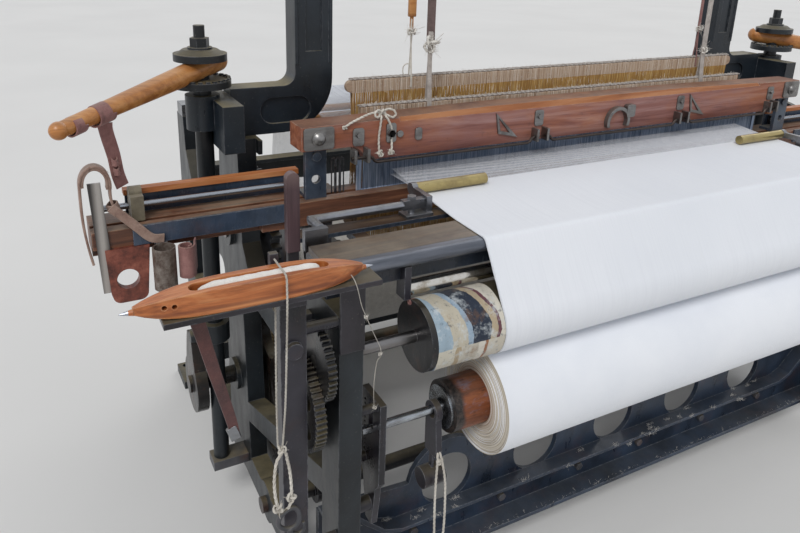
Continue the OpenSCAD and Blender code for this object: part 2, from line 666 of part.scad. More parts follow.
// Warp: ribbons through the healds and the reed, a sheet behind them, down to the beam
function warp_z(y) = fell_z + (rest_h + rest_r + 1 - fell_z) * (y - fell_y) / (rest_y - fell_y);
module warp_sheet() loom() color("#d9d6cf") {
    t = 1.4;
    for (i = [-ribbons : ribbons]) {
        up = (i % 2 == 0) ? 14 : -8;
        yz(i * warp_pitch - warp_w / 2, i * warp_pitch + warp_w / 2) polygon([[fell_y, fell_z],
            [heald_y + heald_gap / 2, warp_z(heald_y) + up], [558 - gap, warp_z(558)],
            [558 - gap, warp_z(558) + t],
            [heald_y + heald_gap / 2, warp_z(heald_y) + up + t], [fell_y, fell_z + t]]);
    }
    lead = tangent_at([rest_y, rest_h], rest_r + gap, [wbeam_y, wbeam_z], yarn_r + gap, 1);
    end = [wbeam_y + (yarn_r + gap) * cos(lead), wbeam_z + (yarn_r + gap) * sin(lead)];
    yz(-cloth_half, cloth_half) polygon(concat(
        [[558, warp_z(558)], [lease_y - 10, sheet_z(lease_y - 10)], [lease_y + 90, sheet_z(lease_y + 90)]],
        arc(rest_y, rest_h, rest_r + gap, 88, lead, 10), [end], [end + t * [cos(lead), sin(lead)]],
        arc(rest_y, rest_h, rest_r + gap + t, lead, 88, 10),
        [[lease_y + 90, sheet_z(lease_y + 90) + t], [lease_y - 10, sheet_z(lease_y - 10) + t],
            [558, warp_z(558) + t]]));
}
function sheet_z(y) = warp_z(y) - 6;

// Cloth: from the fell over the breast beam, round the take-up roller to the nip
module cloth() loom() color("#e4e6ea") yz(-cloth_half, cloth_half) {
    r1 = takeup_r + gap;
    r2 = r1 + cloth_t;
    n1 = nose_r + gap;
    n2 = n1 + cloth_t;
    nip = atan2(roll_z - takeup_z, roll_y - takeup_y) + 366;
    lead = tangent_at([nose_r, beam_z - nose_r], n1, [takeup_y, takeup_z], r1, -1) + 360;
    polygon(concat([[fell_y, fell_z], [nose_r + board_d, beam_z + gap]],
        arc(nose_r, beam_z - nose_r, n1, 90, lead, 8), arc(takeup_y, takeup_z, r1, lead, nip, 24),
        arc(takeup_y, takeup_z, r2, nip, lead, 24), arc(nose_r, beam_z - nose_r, n2, lead, 90, 8),
        [[nose_r + board_d, beam_z + gap + cloth_t], [fell_y, fell_z + cloth_t]]));
}

module take_up_roller() loom() {
    color("#8a8d92") rod_x(-frame_out - 31 + gap, -frame_in + 106, takeup_y, takeup_z, 10);
    color("#8a8d92") rod_x(frame_in - 106, frame_out + 12, takeup_y, takeup_z, 10);
    color("#a9a6a0") rod_x(-frame_in + 115, frame_in - 115, takeup_y, takeup_z, takeup_r);
    color("#1f2126") both() rod_x(frame_in - 115, frame_in - 105, takeup_y, takeup_z, takeup_r);
    color("#2c2e36") translate([-frame_out - 31 + gap, takeup_y, takeup_z]) rotate([90, 0, 90])
        linear_extrude(14 - gap) difference() {
            polygon(gear_points(wheel_t, take_m, atan2(carrier_z - takeup_z, carrier_y - takeup_y)));
            circle(r = 9.9);
        }
}
module take_up_carrier() loom() color("#2c2e36") {
    back = atan2(takeup_z - carrier_z, takeup_y - carrier_y);
    ahead = atan2(ratchet_z - carrier_z, ratchet_y - carrier_y);
    translate([-frame_out - 31, carrier_y, carrier_z]) rotate([90, 0, 90]) linear_extrude(14) difference() {
        polygon(gear_points(carrier_t1, take_m, back + 180 / carrier_t1));
        circle(r = 8 + fit);
    }
    translate([-frame_out - 48, carrier_y, carrier_z]) rotate([90, 0, 90]) linear_extrude(17) difference() {
        polygon(gear_points(carrier_t2, take_m, ahead));
        circle(r = 8 + fit);
        for (a = [0 : 72 : 288]) rotate(a) translate([45, 0]) circle(r = 15);
    }
}
module ratchet_wheel() loom() color("#2c2e36") {
    ahead = atan2(carrier_z - ratchet_z, carrier_y - ratchet_y);
    translate([-frame_out - 48, ratchet_y, ratchet_z]) rotate([90, 0, 90]) linear_extrude(34) difference() {
        polygon(gear_points(change_t, take_m, ahead + 180 / change_t));
        circle(r = 8 + fit);
    }
    translate([-frame_out - 24, ratchet_y, ratchet_z]) rotate([90, 0, 90]) linear_extrude(10) difference() {
        polygon([for (i = [0 : 39]) for (q = [0, 1]) (q == 0 ? 60 : 55) * [cos(9 * i + q), sin(9 * i + q)]]);
        circle(r = 8 + fit);
        for (a = [0 : 72 : 288]) rotate(a) translate([36, 0]) circle(r = 11);
    }
}
module cloth_roller() loom() {
    color("#7c4130") rod_x(-600, 600, roll_y, roll_z, core_r);
    color("#22242a") both() rod_x(600, 606, roll_y, roll_z, core_r - 8);
    color("#b9bcc0") both() rod_x(606, frame_in - 18, roll_y, roll_z, gudgeon_r);
}
module cloth_roll() loom() color("#e4e6ea") difference() {
    rod_x(-cloth_half, cloth_half, roll_y, roll_z, roll_r);
    rod_x(-cloth_half - 1, cloth_half + 1, roll_y, roll_z, core_r);
}

// Slay: rocking shaft with two swords
module slay_swords() loom() color("#262932") {
    rod_x(-frame_out - 12, frame_out + 12, rock_y, rock_z, rock_r);
    both() difference() {
        union() {
            yz(sword_x - sword_t / 2, sword_x + sword_t / 2) union() {
                polygon([[rock_y - 26, rock_z], [rock_y + 26, rock_z], [rock_y + 30, 500],
                    [rock_y + 38, race_z - race_h], [rock_y - 38, race_z - race_h], [rock_y - 30, 500]]);
                circle_at(rock_y, rock_z, 34);
            }
            yz(sword_x - sword_t / 2, sword_x + sword_t / 2 + 14) polygon([[rock_y - 40, race_z - race_h - 12],
                [rock_y + 40, race_z - race_h - 12], [rock_y + 40, race_z - race_h],
                [rock_y - 40, race_z - race_h]]);
            rod_x(sword_x - sword_t / 2, sword_x + sword_t / 2 + 8, arm_pin_y, crank_z, 24);
        }
        rod_x(sword_x - 60, sword_x + 60, rock_y, rock_z, rock_r - 0.1);
    }
}
module race_board() loom() color("#9a7148") {
    difference() {
        yz(-slay_half, slay_half) polygon([[race_y0, race_z - race_h], [race_y1, race_z - race_h],
            [race_y1, race_z + 2], [reed_y + 6, race_z + 2], [reed_y + 6, race_z - 16],
            [reed_y - gap, race_z - 16], [reed_y - gap, race_z], [race_y0, race_z]]);
        // rough undercut along the front of both box ends
        both() block([820, race_y0 - 1, race_z - race_h - 1], [slay_half + 1, race_y0 + 16, race_z - race_h + 16]);
        // narrower between the swords, where the front heald passes close behind
        block([-650, reed_y + 38, race_z - race_h - 1], [650, race_y1 + 1, race_z + 3]);
        // the bottoms of the shuttle boxes are boards of their own
        both() block([650 - fit, race_y0 - 1, race_z - race_h - 1], [650, race_y1 + 1, race_z + 3]);
    }
}
module cap_outline() {
    ze = cap_z - 6;
    polygon(concat([[-cap_half, ze - cap_end_h], [-cap_half, ze], [-560, ze + 2], [-300, cap_z],
        [300, cap_z], [560, ze + 2], [cap_half, ze], [cap_half, ze - cap_end_h],
        [cap_half - 99, ze - cap_end_h]], arc(cap_half - 99, ze - cap_end_h - 34, 34, 90, 175, 8),
        [[cap_half - 143, cap_z - cap_h], [143 - cap_half, cap_z - cap_h]],
        arc(99 - cap_half, ze - cap_end_h - 34, 34, 5, 90, 8)));
}
module slay_cap() loom() color("#7a4534") difference() {
    xz(cap_y, cap_y + cap_t) cap_outline();
    // worn bevel along the upper front edge, and the groove that holds the reed
    translate([0, 0, cap_z - 5]) yz(-530, 570) polygon([[cap_y - 1, -7], [cap_y + 15, 8], [cap_y - 1, 8]]);
    block([-reed_half - 1, reed_y - gap, cap_z - cap_h - 2], [reed_half + 1, reed_y + reed_t + gap,
        cap_z - cap_h + 16]);
}
module face_plate(x, z, w, h, t) {
    translate([x, cap_y, z]) rotate([90, 0, 0]) linear_extrude(t) union() {
        square([w - 12, h], center = true);
        square([w, h - 12], center = true);
        for (i = [-1, 1]) for (j = [-1, 1]) translate([i * (w / 2 - 6), j * (h / 2 - 6)]) circle(r = 6);
    }
}
module cap_fittings() loom() color("#a5a8a8") {
    both() {
        face_plate(cap_half - 34, cap_z - 29, 62, 44, 4);
        translate([cap_half - 34, cap_y - 4, cap_z - 29]) rotate([90, 0, 0]) cylinder(h = 3, r = 15);
        translate([cap_half - 34, cap_y - 7, cap_z - 29]) rotate([90, 0, 0]) intersection() {
            translate([0, 0, -8]) sphere(r = 15);
            cylinder(h = 10, r = 13);
        }
    }
    face_plate(-550, cap_z - 32, 22, 40, 3);
    translate([-552, cap_y - 3, cap_z - 32]) rotate([90, 0, 0]) hexhead(8, 8);
    translate([-530, cap_y, cap_z - 36]) rotate([90, 0, 0]) cylinder(h = 4, r = 7);
    face_plate(-487, cap_z - 40, 16, 26, 3);
    // three-cornered stays at the back of the reed bolts
    for (x = [-266, 330]) xz(cap_y - 4, cap_y) difference() {
        polygon([[x - 30, cap_z - 14], [x + 30, cap_z - 72], [x - 22, cap_z - 60]]);
        polygon([[x - 24, cap_z - 24], [x + 8, cap_z - 60], [x - 17, cap_z - 54]]);
    }
    // hinge plates of the shuttle guard, each with an ear on both sides of the guard's rod
    for (x = guard_xs) {
        face_plate(x, cap_z - 34, 24, 36, 3);
        translate([x, cap_y - 3, cap_z - 30]) rotate([90, 0, 0]) hexhead(6, 6);
        for (s = [-1, 1]) difference() {
            block([x + s * 14 - 3, guard_y - 8, guard_z - 8 + 6], [x + s * 14 + 3, cap_y, guard_z + 26]);
            rod_x(x - 30, x + 30, guard_y, guard_z + 8, 3.5 + fit);
        }
    }
    // curved stay with two feet in the middle
    xz(cap_y - 12, cap_y) difference() {
        translate([56, cap_z - 62]) circle(r = 36);
        translate([56, cap_z - 62]) circle(r = 28);
        translate([10, cap_z - 140]) square([90, 66]);
    }
    face_plate(92, cap_z - 38, 26, 30, 13);
}
guard_xs = [-622, -178, 270, 618];
module reed() loom() color("#7f90a3") difference() {
    block([-reed_half, reed_y, race_z - 16 + gap], [reed_half, reed_y + reed_t, cap_z - cap_h + 14]);
    for (i = [-ribbons : ribbons]) block([i * warp_pitch - 6, reed_y - 1, race_z + 2],
        [i * warp_pitch + 6, reed_y + reed_t + 1, cap_z - cap_h - 2]);
}
module shuttle_boxes() loom() both() {
    // steel back with a wooden strip on top, low steel front and the picker's spindle
    color("#3a4048") block([box_in - 20, box_back_y, race_z + 2], [box_out, box_back_y + 6, race_z + box_back_h]);
    color("#b57334") block([box_in - 20, box_back_y - 4, race_z + box_back_h], [box_out + 2, box_back_y + 16,
        race_z + box_back_h + 10]);
    color("#2d3846") block([box_in + 16, race_y0 - 5, race_z - race_h + 16 + gap],
        [box_out, race_y0, race_z + 4]);
    color("#9aa0a6") rod_x(box_in - 6, slay_half - 14, spindle_y, spindle_z, spindle_r);
}
module slay_end_irons() loom() color("#3a4048") {
    both() {
        // stays from the race board up to the cap's ends
        difference() {
            block([cap_half - 56, cap_y + 14, race_z], [cap_half - 12, cap_y + 24, cap_z - 6 - cap_end_h]);
            translate([cap_half - 34, cap_y + 30, race_z + 40]) rotate([90, 0, 0]) cylinder(h = 20, r = 9);
        }
        block([cap_half - 56, cap_y + 24, race_z + 2], [cap_half - 12, cap_y + 56, race_z + 10]);
        block([cap_half - 56, cap_y + 24, cap_z - 14 - cap_end_h], [cap_half - 12, cap_y + 56,
            cap_z - 6 - cap_end_h]);
        translate([cap_half - 34, cap_y + 14, cap_z - 68]) rotate([90, 0, 0]) cylinder(h = 6, r = 9);
        // outer spindle brackets
        difference() {
            block([slay_half - 20, spindle_y - 16, race_z + 2], [slay_half - 8, spindle_y + 14, spindle_z + 12]);
            rod_x(slay_half - 30, slay_half, spindle_y, spindle_z, spindle_r + fit);
        }
        difference() {
            block([box_in - 6, spindle_y - 12, race_z + 2], [box_in + 2, spindle_y + 12, spindle_z + 11]);
            rod_x(box_in - 20, box_in + 10, spindle_y, spindle_z, spindle_r + fit);
        }
    }
    // left end: eyed casting under the race board, cup beside it and a flat spring
    color("#a4402c") xz(race_y0 - 8, race_y0 + 8) difference() {
        polygon(concat([[-1100, race_z - race_h + 16], [-1096, 720]], arc(-1080, 714, 14, 190, 270, 5),
            arc(-1048, 714, 14, 270, 360, 5), [[-1026, race_z - race_h + 16]]));
        translate([-1066, 744]) circle(r = 19);
    }
    color("#8f9296") difference() {
        union() {
            translate([-1006, race_y0 - 26, 724]) cylinder(h = 78, r = 20);
            block([-1016, race_y0 - 12, 770], [-996, race_y0 + 16, race_z - race_h + 16]);
        }
        translate([-1006, race_y0 - 26, 728]) cylinder(h = 80, r = 17);
    }
    color("#98928a") xz(race_y0 - 4, race_y0) polygon([[-1117, 925], [-1096, 925], [-1094, 870],
        [-1086, 722], [-1108, 722], [-1114, 860]]);
}
module buffer_straps() loom() color("#9a8f84") {
    // folded leather loop at the left end of the slay with its tail
    xz(race_y0 + gap, race_y0 + 16) difference() {
        polygon(oval(-1104, 918, 26, 36));
        polygon(oval(-1104, 918, 22, 31));
    }
    xz(race_y0 + gap, race_y0 + 16) polygon([[-1112, 882.5], [-1104, 881.5], [-1092, 872], [-1060, 838],
        [-1048, 838], [-1060, 852], [-1088, 880], [-1092, 886], [-1098, 883]]);
    xz(race_y0 - 9.4, race_y0 - 5.4) polygon([[-1088, 872], [-1024, 806], [-1000, 806], [-1000, 814],
        [-1020, 822], [-1078, 884]]);
}
module shuttle_guard() loom() color("#5d5b5a") {
    // cranked rod: straight lengths under the cap, raised where it passes each hinge
    tube([for (i = [0 : len(guard_xs) - 1]) for (q = guard_steps(i)) [guard_xs[i] + q[0], guard_y,
        guard_z + q[1]]], 3.4);
}
function guard_steps(i) = concat(i == 0 ? [] : [[-36, -4], [-30, -1], [-26, 5]], [[-20, 8], [20, 8]],
    i == len(guard_xs) - 1 ? [] : [[26, 5], [30, -1], [36, -4]]);
module picker() {
    difference() {
        union() {
            block([picker_x - 22, spindle_y - 34, race_z + 3], [picker_x, box_back_y - 4 - gap,
                spindle_z + 26]);
            rod_x(picker_x - 22, picker_x, spindle_y - 6, spindle_z + 26, 12);
        }
        rod_x(picker_x - 40, picker_x + 10, spindle_y, spindle_z, spindle_r + fit);
        rod_x(picker_x - 23, picker_x - 16, spindle_y - 26, race_z + 18, 6);
    }
}
module picker_left() loom() color("#80807a") mirror([1, 0, 0]) picker();
module picker_right() loom() color("#80807a") picker();

// Crankshaft with two cranks, driving pinion, fast pulley and hand wheel
pulley_x = frame_out + 133;
module spoked(r, w, bore, spokes, rim) {
    difference() {
        union() {
            difference() {
                rod_x(0, w, 0, 0, r);
                rod_x(-1, w + 1, 0, 0, r - rim);
            }
            rod_x(0, w, 0, 0, bore + 18);
            for (i = [0 : spokes - 1]) rotate([360 * i / spokes, 0, 0])
                block([w / 2 - 6, -10, bore + 4], [w / 2 + 6, 10, r - rim / 2]);
        }
        rod_x(-1, w + 1, 0, 0, bore);
    }
}
module crank_web(x) {
    yz(x, x + 12) union() {
        polygon([[crank_y, crank_z - 27], [crank_pin_y, crank_z - 24], [crank_pin_y, crank_z + 24],
            [crank_y, crank_z + 27]]);
        circle_at(crank_y, crank_z, 27);
        circle_at(crank_pin_y, crank_z, 24);
    }
}
module crankshaft() loom() {
    a = arm_x - 13;
    b = arm_x + 13;
    color("#55575c") {
        rod_x(-a, a, crank_y, crank_z, crank_r);
        rod_x(-gear_x - 12, -b, crank_y, crank_z, crank_r);
        rod_x(-frame_out - 14, -gear_x - 12, crank_y, crank_z, crank_r);
        rod_x(b, pulley_x + 2 * pulley_w + 26, crank_y, crank_z, crank_r);
        both() {
            crank_web(a - 12);
            crank_web(b);
            rod_x(a, b, crank_pin_y, crank_z, pin_r);
        }
    }
    color("#2c2e36") translate([-gear_x, crank_y, crank_z]) rotate([90, 0, 90]) linear_extrude(gear_w)
        difference() {
            polygon(gear_points(pinion_teeth, gear_m, mesh_dir));
            circle(r = crank_r - 0.1);
        }
    color("#3a3d44") translate([pulley_x, crank_y, crank_z]) spoked(pulley_r, pulley_w, crank_r - 0.1, 5, 7);
    color("#3a3d44") translate([pulley_x + 2 * pulley_w + 8, crank_y, crank_z])
        spoked(wheel_r, 18, crank_r - 0.1, 5, 14);
}
module loose_pulley() loom() color("#3a3d44") translate([pulley_x + pulley_w + 3, crank_y, crank_z])
    spoked(pulley_r, pulley_w, crank_r + fit, 5, 7);
module crank_arm() {
    difference() {
        union() {
            rod_x(arm_x - 11, arm_x + 11, crank_pin_y, crank_z, pin_r + 14);
            rod_x(arm_x - 11, arm_x + 11, arm_pin_y, crank_z, 22);
            yz(arm_x - 8, arm_x + 8) polygon([[arm_pin_y, crank_z - 18], [crank_pin_y, crank_z - 24],
                [crank_pin_y, crank_z + 24], [arm_pin_y, crank_z + 18]]);
        }
        rod_x(arm_x - 20, arm_x + 20, crank_pin_y, crank_z, pin_r + fit);
    }
    rod_x(arm_x + 11, sword_x - sword_t / 2 - gap, arm_pin_y, crank_z, 12);
}
module crank_arm_left() loom() color("#4a4038") mirror([1, 0, 0]) crank_arm();
module crank_arm_right() loom() color("#4a4038") crank_arm();

// Tappet shaft: driving gear, two cams for the healds and a picking nose at each end
module tappet_shaft() loom() color("#2c2e36") {
    rod_x(-932, 932, tappet_y, tappet_z, tappet_r);
    translate([-gear_x, tappet_y, tappet_z]) rotate([90, 0, 90]) linear_extrude(gear_w) difference() {
        polygon(gear_points(gear_teeth, gear_m, mesh_dir + 180 + 180 / gear_teeth));
        circle(r = tappet_r - 0.1);
        for (a = [0 : 60 : 300]) rotate(a) translate([gear_m * gear_teeth * 0.29, 0]) circle(r = 52);
    }
    for (i = [0, 1]) yz(treadle_xs[i] - 11, treadle_xs[i] + 11) translate([tappet_y, tappet_z]) rotate(180 * i)
        difference() {
            union() {
                translate([0, -cam_throw]) circle(r = cam_r - cam_throw);
                circle(r = tappet_r + 9);
            }
            circle(r = tappet_r - 0.1);
        }
    both() yz(pick_x + pick_r + 6, pick_x + pick_r + 32) translate([tappet_y, tappet_z]) difference() {
        union() {
            circle(r = 66);
            polygon([[-44, 40], [-24, 116], arc_pt(7), arc_pt(-7), [26, 112], [46, 40]]);
        }
        circle(r = tappet_r - 0.1);
    }
}
function arc_pt(a) = [-134 * sin(a), 134 * cos(a)];
module treadle(x, drop) translate([x, treadle_y, treadle_z]) rotate([drop, 0, 0])
    translate([-x, -treadle_y, -treadle_z]) {
    m = treadle_z + treadle_rise;
    difference() {
        union() {
            yz(x - 8, x + 8) polygon([[400, m + 28], [treadle_y, treadle_z - 20], [treadle_y, treadle_z + 20],
                [tappet_y + 60, m + 2], [tappet_y - 40, m + 22], [400, m + 48]]);
            rod_x(x - 12, x + 12, treadle_y, treadle_z, 20);
            for (s = [-1, 1]) yz(x + s * 11 - 3, x + s * 11 + 3) polygon([[tappet_y - 34, m - 14],
                [tappet_y + 34, m - 26], [tappet_y + 12, bowl_z + 12], [tappet_y - 12, bowl_z + 12]]);
        }
        rod_x(x - 30, x + 30, treadle_y, treadle_z, 9 + fit);
        rod_x(x - 9, x + 9, tappet_y, bowl_z, bowl_r + 2);
    }
    rod_x(x - 7, x + 7, tappet_y, bowl_z, bowl_r);
    rod_x(x - 14, x + 14, tappet_y, bowl_z, 7);
}
module treadle_front() loom() color("#2c2e36") treadle(treadle_xs[0], treadle_drop);
module treadle_back() loom() color("#2c2e36") treadle(treadle_xs[1], 0);

// Healds: two staves, the cords between them and the ties to roller and treadle
module heald_staves(y, z) {
    for (zz = [z - stave_h, z - heald_h - stave_h]) xz(y - stave_t / 2, y + stave_t / 2) polygon(concat(
        arc(stave_half - stave_h / 2, zz + stave_h / 2, stave_h / 2, -90, 90, 8),
        arc(-stave_half + stave_h / 2, zz + stave_h / 2, stave_h / 2, 90, 270, 8)));
}
module heald_cords(y, z, tx, xs, low) {
    difference() {
        block([-cloth_half - 24, y - 4, z - heald_h], [cloth_half + 24, y + 4, z - stave_h]);
        for (i = [-ribbons : ribbons]) block([i * warp_pitch - 6, y - 5, z - heald_h + 14],
            [i * warp_pitch + 6, y + 5, z - stave_h - 10]);
    }
    // ties up to the top roller and down to the treadle
    for (x = xs) block([x - 7, y - 1.5, z], [x + 7, y + 1.5, arch_z - 70]);
    block([tx - 4, y - 3, low], [tx + 4, y + 3, z - heald_h - stave_h]);
}
module heald_staves_front() loom() color("#cfc7ba") heald_staves(heald_y, stave_z);
module heald_staves_back() loom() color("#cdb39a")
    heald_staves(heald_y + heald_gap, stave_z + heald_lift);
module heald_cords_front() loom() color("#b3925c")
    heald_cords(heald_y, stave_z, treadle_xs[0], [-418, 428], treadle_z + treadle_rise + 52 - heald_lift);
module heald_cords_back() loom() color("#b3925c")
    heald_cords(heald_y + heald_gap, stave_z + heald_lift, treadle_xs[1], [-438, 452],
        treadle_z + treadle_rise + 40);
module top_roller() loom() color("#8a5a34") {
    y = heald_y + heald_gap / 2;
    rod_x(-500, 500, y, arch_z - 67, heald_gap / 2 - 1.9);
    both() rod_x(500, 524, y, arch_z - 67, 8);
}

// Picking shafts: upright, with a toothed clamp on top and a cone low down
module picking_shaft() {
    translate([pick_x, pick_y, footstep_z]) cylinder(h = head_z - footstep_z, r = pick_r);
    translate([pick_x, pick_y, head_z]) difference() {
        union() {
            cylinder(h = 14, r = 58);
            translate([0, 0, 52]) cylinder(h = 14, r = 52);
            translate([0, 0, 66]) cylinder(h = 8, r1 = 46, r2 = 34);
            for (a = [0 : 15 : 345]) rotate(a) translate([0, 0, 12]) block([50, -4, 0], [57, 4, 6]);
            cylinder(h = 60, r = 16);
        }
    }
    translate([pick_x, pick_y, head_z + 74]) {
        cylinder(h = 4, r = 24);
        translate([0, 0, 4]) hexhead(18, 19);
        cylinder(h = 46, r = 11);
    }
    // arm and cone that the picking nose throws outward
    difference() {
        union() {
            translate([pick_x, pick_y, 466]) cylinder(h = 44, r = pick_r + 14);
            rod_x(pick_x + 6, pick_x + pick_r + 10, pick_y, 480, 16);
            translate([pick_x + pick_r + 8, pick_y, 480]) rotate([0, 90, 0]) cylinder(h = 30, r1 = 19, r2 = 13);
        }
        translate([pick_x, pick_y, 440]) cylinder(h = 90, r = pick_r - 0.1);
    }
}
module picking_shaft_left() loom() color("#34363e") mirror([1, 0, 0]) picking_shaft();
module picking_shaft_right() loom() color("#34363e") picking_shaft();
// Stick direction in the right-hand frame, pointing outward and to the front
stick_u = [cos(stick_drop) * -cos(stick_a), cos(stick_drop) * sin(stick_a), -sin(stick_drop)];
function on_stick(d) = [pick_x, pick_y, stick_z] + d * stick_u;
module picking_stick() difference() {
    union() {
        rod(on_stick(-52), on_stick(40), stick_r);
        rod(on_stick(40), on_stick(stick_len), stick_r, 13);
        translate(on_stick(stick_len)) sphere(r = 15);
        translate(on_stick(-52)) sphere(r = stick_r);
    }
    translate([pick_x, pick_y, head_z - 10]) cylinder(h = 100, r = 16.2);
    translate([pick_x, pick_y, head_z - 40]) cylinder(h = 54, r = 60);
    // room for the teeth of the lower disc
    translate([pick_x, pick_y, head_z + 13]) difference() {
        cylinder(h = 5.4, r = 59);
        translate([0, 0, -1]) cylinder(h = 8, r = 48);
    }
    translate([pick_x, pick_y, head_z + 52]) cylinder(h = 60, r = 60);
}
module picking_stick_left() loom() color("#b87a3e") mirror([1, 0, 0]) picking_stick();
module picking_stick_right() loom() color("#b87a3e") picking_stick();
// Leather band: a wrap round the stick and a strap down to the picker
module picking_band() {
    a = on_stick(262);
    difference() {
        union() {
            rod(on_stick(246), on_stick(284), 19);
            rod(on_stick(306), on_stick(332), 17);
        }
        rod(on_stick(40), on_stick(stick_len), stick_r + fit, 13 + fit);
    }
    xz(a[1] - 13, a[1] + 13) polygon([[a[0] - 9, a[2] - 15.6], [a[0] - 9, a[2] - 30], [1063, 960],
        [1060, 925], [1050, 903], [1050, 899], [1064, 899], [1066, 922], [1070, 958], [a[0] - 1, a[2] - 30],
        [a[0] - 1, a[2] - 16]]);
}
module picking_band_left() loom() color("#a8807c") mirror([1, 0, 0]) picking_band();
module picking_band_right() loom() color("#a8807c") picking_band();

module warp_beam() loom() {
    color("#7a5a3c") rod_x(-640, 640, wbeam_y, wbeam_z, 62);
    color("#2c2e36") both() {
        difference() {
            rod_x(566, 580, wbeam_y, wbeam_z, wflange_r);
            rod_x(565, 581, wbeam_y, wbeam_z, 61.9);
        }
        difference() {
            rod_x(600, 640, wbeam_y, wbeam_z, 96);
            rod_x(599, 641, wbeam_y, wbeam_z, 61.9);
            for (x = [608 : 12 : 632]) translate([x, wbeam_y, wbeam_z]) rotate([0, 90, 0])
                rotate_extrude() translate([96, 0]) circle(r = 3);
        }
        rod_x(640, frame_out + 10, wbeam_y, wbeam_z, 15);
    }
}
module beam_yarn() loom() color("#ddd8cd") difference() {
    rod_x(-560, 560, wbeam_y, wbeam_z, yarn_r);
    rod_x(-561, 561, wbeam_y, wbeam_z, 62.1);
}
// Drag ropes over the beam's ruffles, held by a lever with round weights
module beam_weights() loom() both() {
    color("#2c2e36") {
        block([614, 800, 66], [626, wbeam_y + 60, 82]);
        for (z = [14, 38]) translate([620, 836, z]) cylinder(h = 22, r = 46);
        translate([620, 836, 34]) cylinder(h = 36, r = 8);
        block([606, wbeam_y + 44, 60], [634, wbeam_y + 60, 100]);
    }
    color("#6b5f4c") yz(616, 624) difference() {
        union() {
            circle_at(wbeam_y, wbeam_z, 96 + 8);
            polygon([[wbeam_y - 104, wbeam_z], [wbeam_y - 104, 82], [wbeam_y - 96.6, 82],
                [wbeam_y - 96.6, wbeam_z]]);
        }
        circle_at(wbeam_y, wbeam_z, 96.6);
        polygon([[wbeam_y - 90, wbeam_z - 120], [wbeam_y + 120, wbeam_z - 120], [wbeam_y + 120, wbeam_z],
            [wbeam_y - 90, wbeam_z]]);
    }
}

// Loose ends that hang at the weaver's side
module loop_string() loom() color("#d8d4c8") tube(smooth(loop_route, 3), cord_r * 1.6);
module hook_string() loom() color("#e6e2d4") tube(smooth(hook_route, 4), cord_r * 1.8);
module hanging_strap() loom() color("#6b4a3a") xz(shuttle_y + 24 + gap, shuttle_y + 28 + gap)
    polygon([[-1036, rest_z - rest_t], [-1014, rest_z - rest_t], [-1004, 760], [-984, 700], [-970, 640],
        [-984, 632], [-1002, 690], [-1024, 752]]);

frame_left();
frame_right();
top_arch();
front_rail();
back_rail();
back_rest();
breast_beam();
breast_board();
temple_arms();
temple_roller_left();
temple_roller_right();
roller_brackets();
shuttle_rest();
shuttle();
shuttle_cop();
starting_handle();
frame_bolts();
lease_rods();
warp_sheet();
cloth();
take_up_roller();
take_up_carrier();
ratchet_wheel();
cloth_roller();
cloth_roll();
slay_swords();
race_board();
slay_cap();
cap_fittings();
reed();
shuttle_boxes();
slay_end_irons();
buffer_straps();
shuttle_guard();
picker_left();
picker_right();
crankshaft();
loose_pulley();
crank_arm_left();
crank_arm_right();
tappet_shaft();
treadle_front();
treadle_back();
heald_staves_front();
heald_staves_back();
heald_cords_front();
heald_cords_back();
top_roller();
picking_shaft_left();
picking_shaft_right();
picking_stick_left();
picking_stick_right();
picking_band_left();
picking_band_right();
warp_beam();
beam_yarn();
beam_weights();
loop_string();
hook_string();
hanging_strap();
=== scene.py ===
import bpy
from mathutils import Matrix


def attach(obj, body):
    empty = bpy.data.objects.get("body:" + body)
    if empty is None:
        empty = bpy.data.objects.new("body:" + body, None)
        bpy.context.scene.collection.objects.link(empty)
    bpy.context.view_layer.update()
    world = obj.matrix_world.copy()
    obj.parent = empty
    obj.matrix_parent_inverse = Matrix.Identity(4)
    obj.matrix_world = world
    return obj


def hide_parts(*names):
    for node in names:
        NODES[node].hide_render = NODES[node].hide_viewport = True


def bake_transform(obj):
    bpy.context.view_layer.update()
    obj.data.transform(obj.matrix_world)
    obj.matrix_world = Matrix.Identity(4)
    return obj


bl_info = {
    "name": "Power Loom Finisher",
    "version": (1, 0, 0),
    "blender": (4, 5, 0),
    "location": "3D View > Sidebar > Loom",
    "description": "Threads, clothes and finishes the packed power loom, and sets its studio stage",
    "category": "Object",
}

import math

import bpy
import numpy as np
from mathutils import Matrix, Vector

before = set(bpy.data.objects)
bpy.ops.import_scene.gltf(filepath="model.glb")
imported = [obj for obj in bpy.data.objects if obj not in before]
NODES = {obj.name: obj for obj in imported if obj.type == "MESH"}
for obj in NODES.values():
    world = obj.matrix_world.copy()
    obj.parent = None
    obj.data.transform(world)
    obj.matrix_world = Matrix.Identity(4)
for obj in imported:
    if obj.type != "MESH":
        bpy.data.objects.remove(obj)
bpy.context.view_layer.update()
SIDES = (("left", -1), ("right", 1))

# The maker's drawing is in millimetres, and its y starts at the breast beam's front edge.
MID_Y = 566.5  # middle of the loom's depth
FELL_Y, FELL_Z = 243, 860  # where the warp ends in cloth
WARP_RISE = 39  # from there to the back rest
REED_Y, FRONT_HEALD, BACK_HEALD, LEASE_RODS = 351, 405, 450, (760, 830)
CLOTH_HALF = 533
NOSE_RADIUS, LAP_RADIUS = 13.15, 61.15
LAP_START, LAP_END = 147.35, 280.4  # degrees between which the cloth lies on the take-up roller
WARP_HALF = 0.532  # in metres

# Axes along X, as y and z
BREAST_NOSE, TAKE_UP, CLOTH_ROLLER, TUBE, COP = (12, 838), (-13, 710), (0, 544.21), (20, 781), (-62, 890.2)
BACK_REST, WARP_BEAM, CRANK = (1070, 860), (1010, 330), (574, 700)

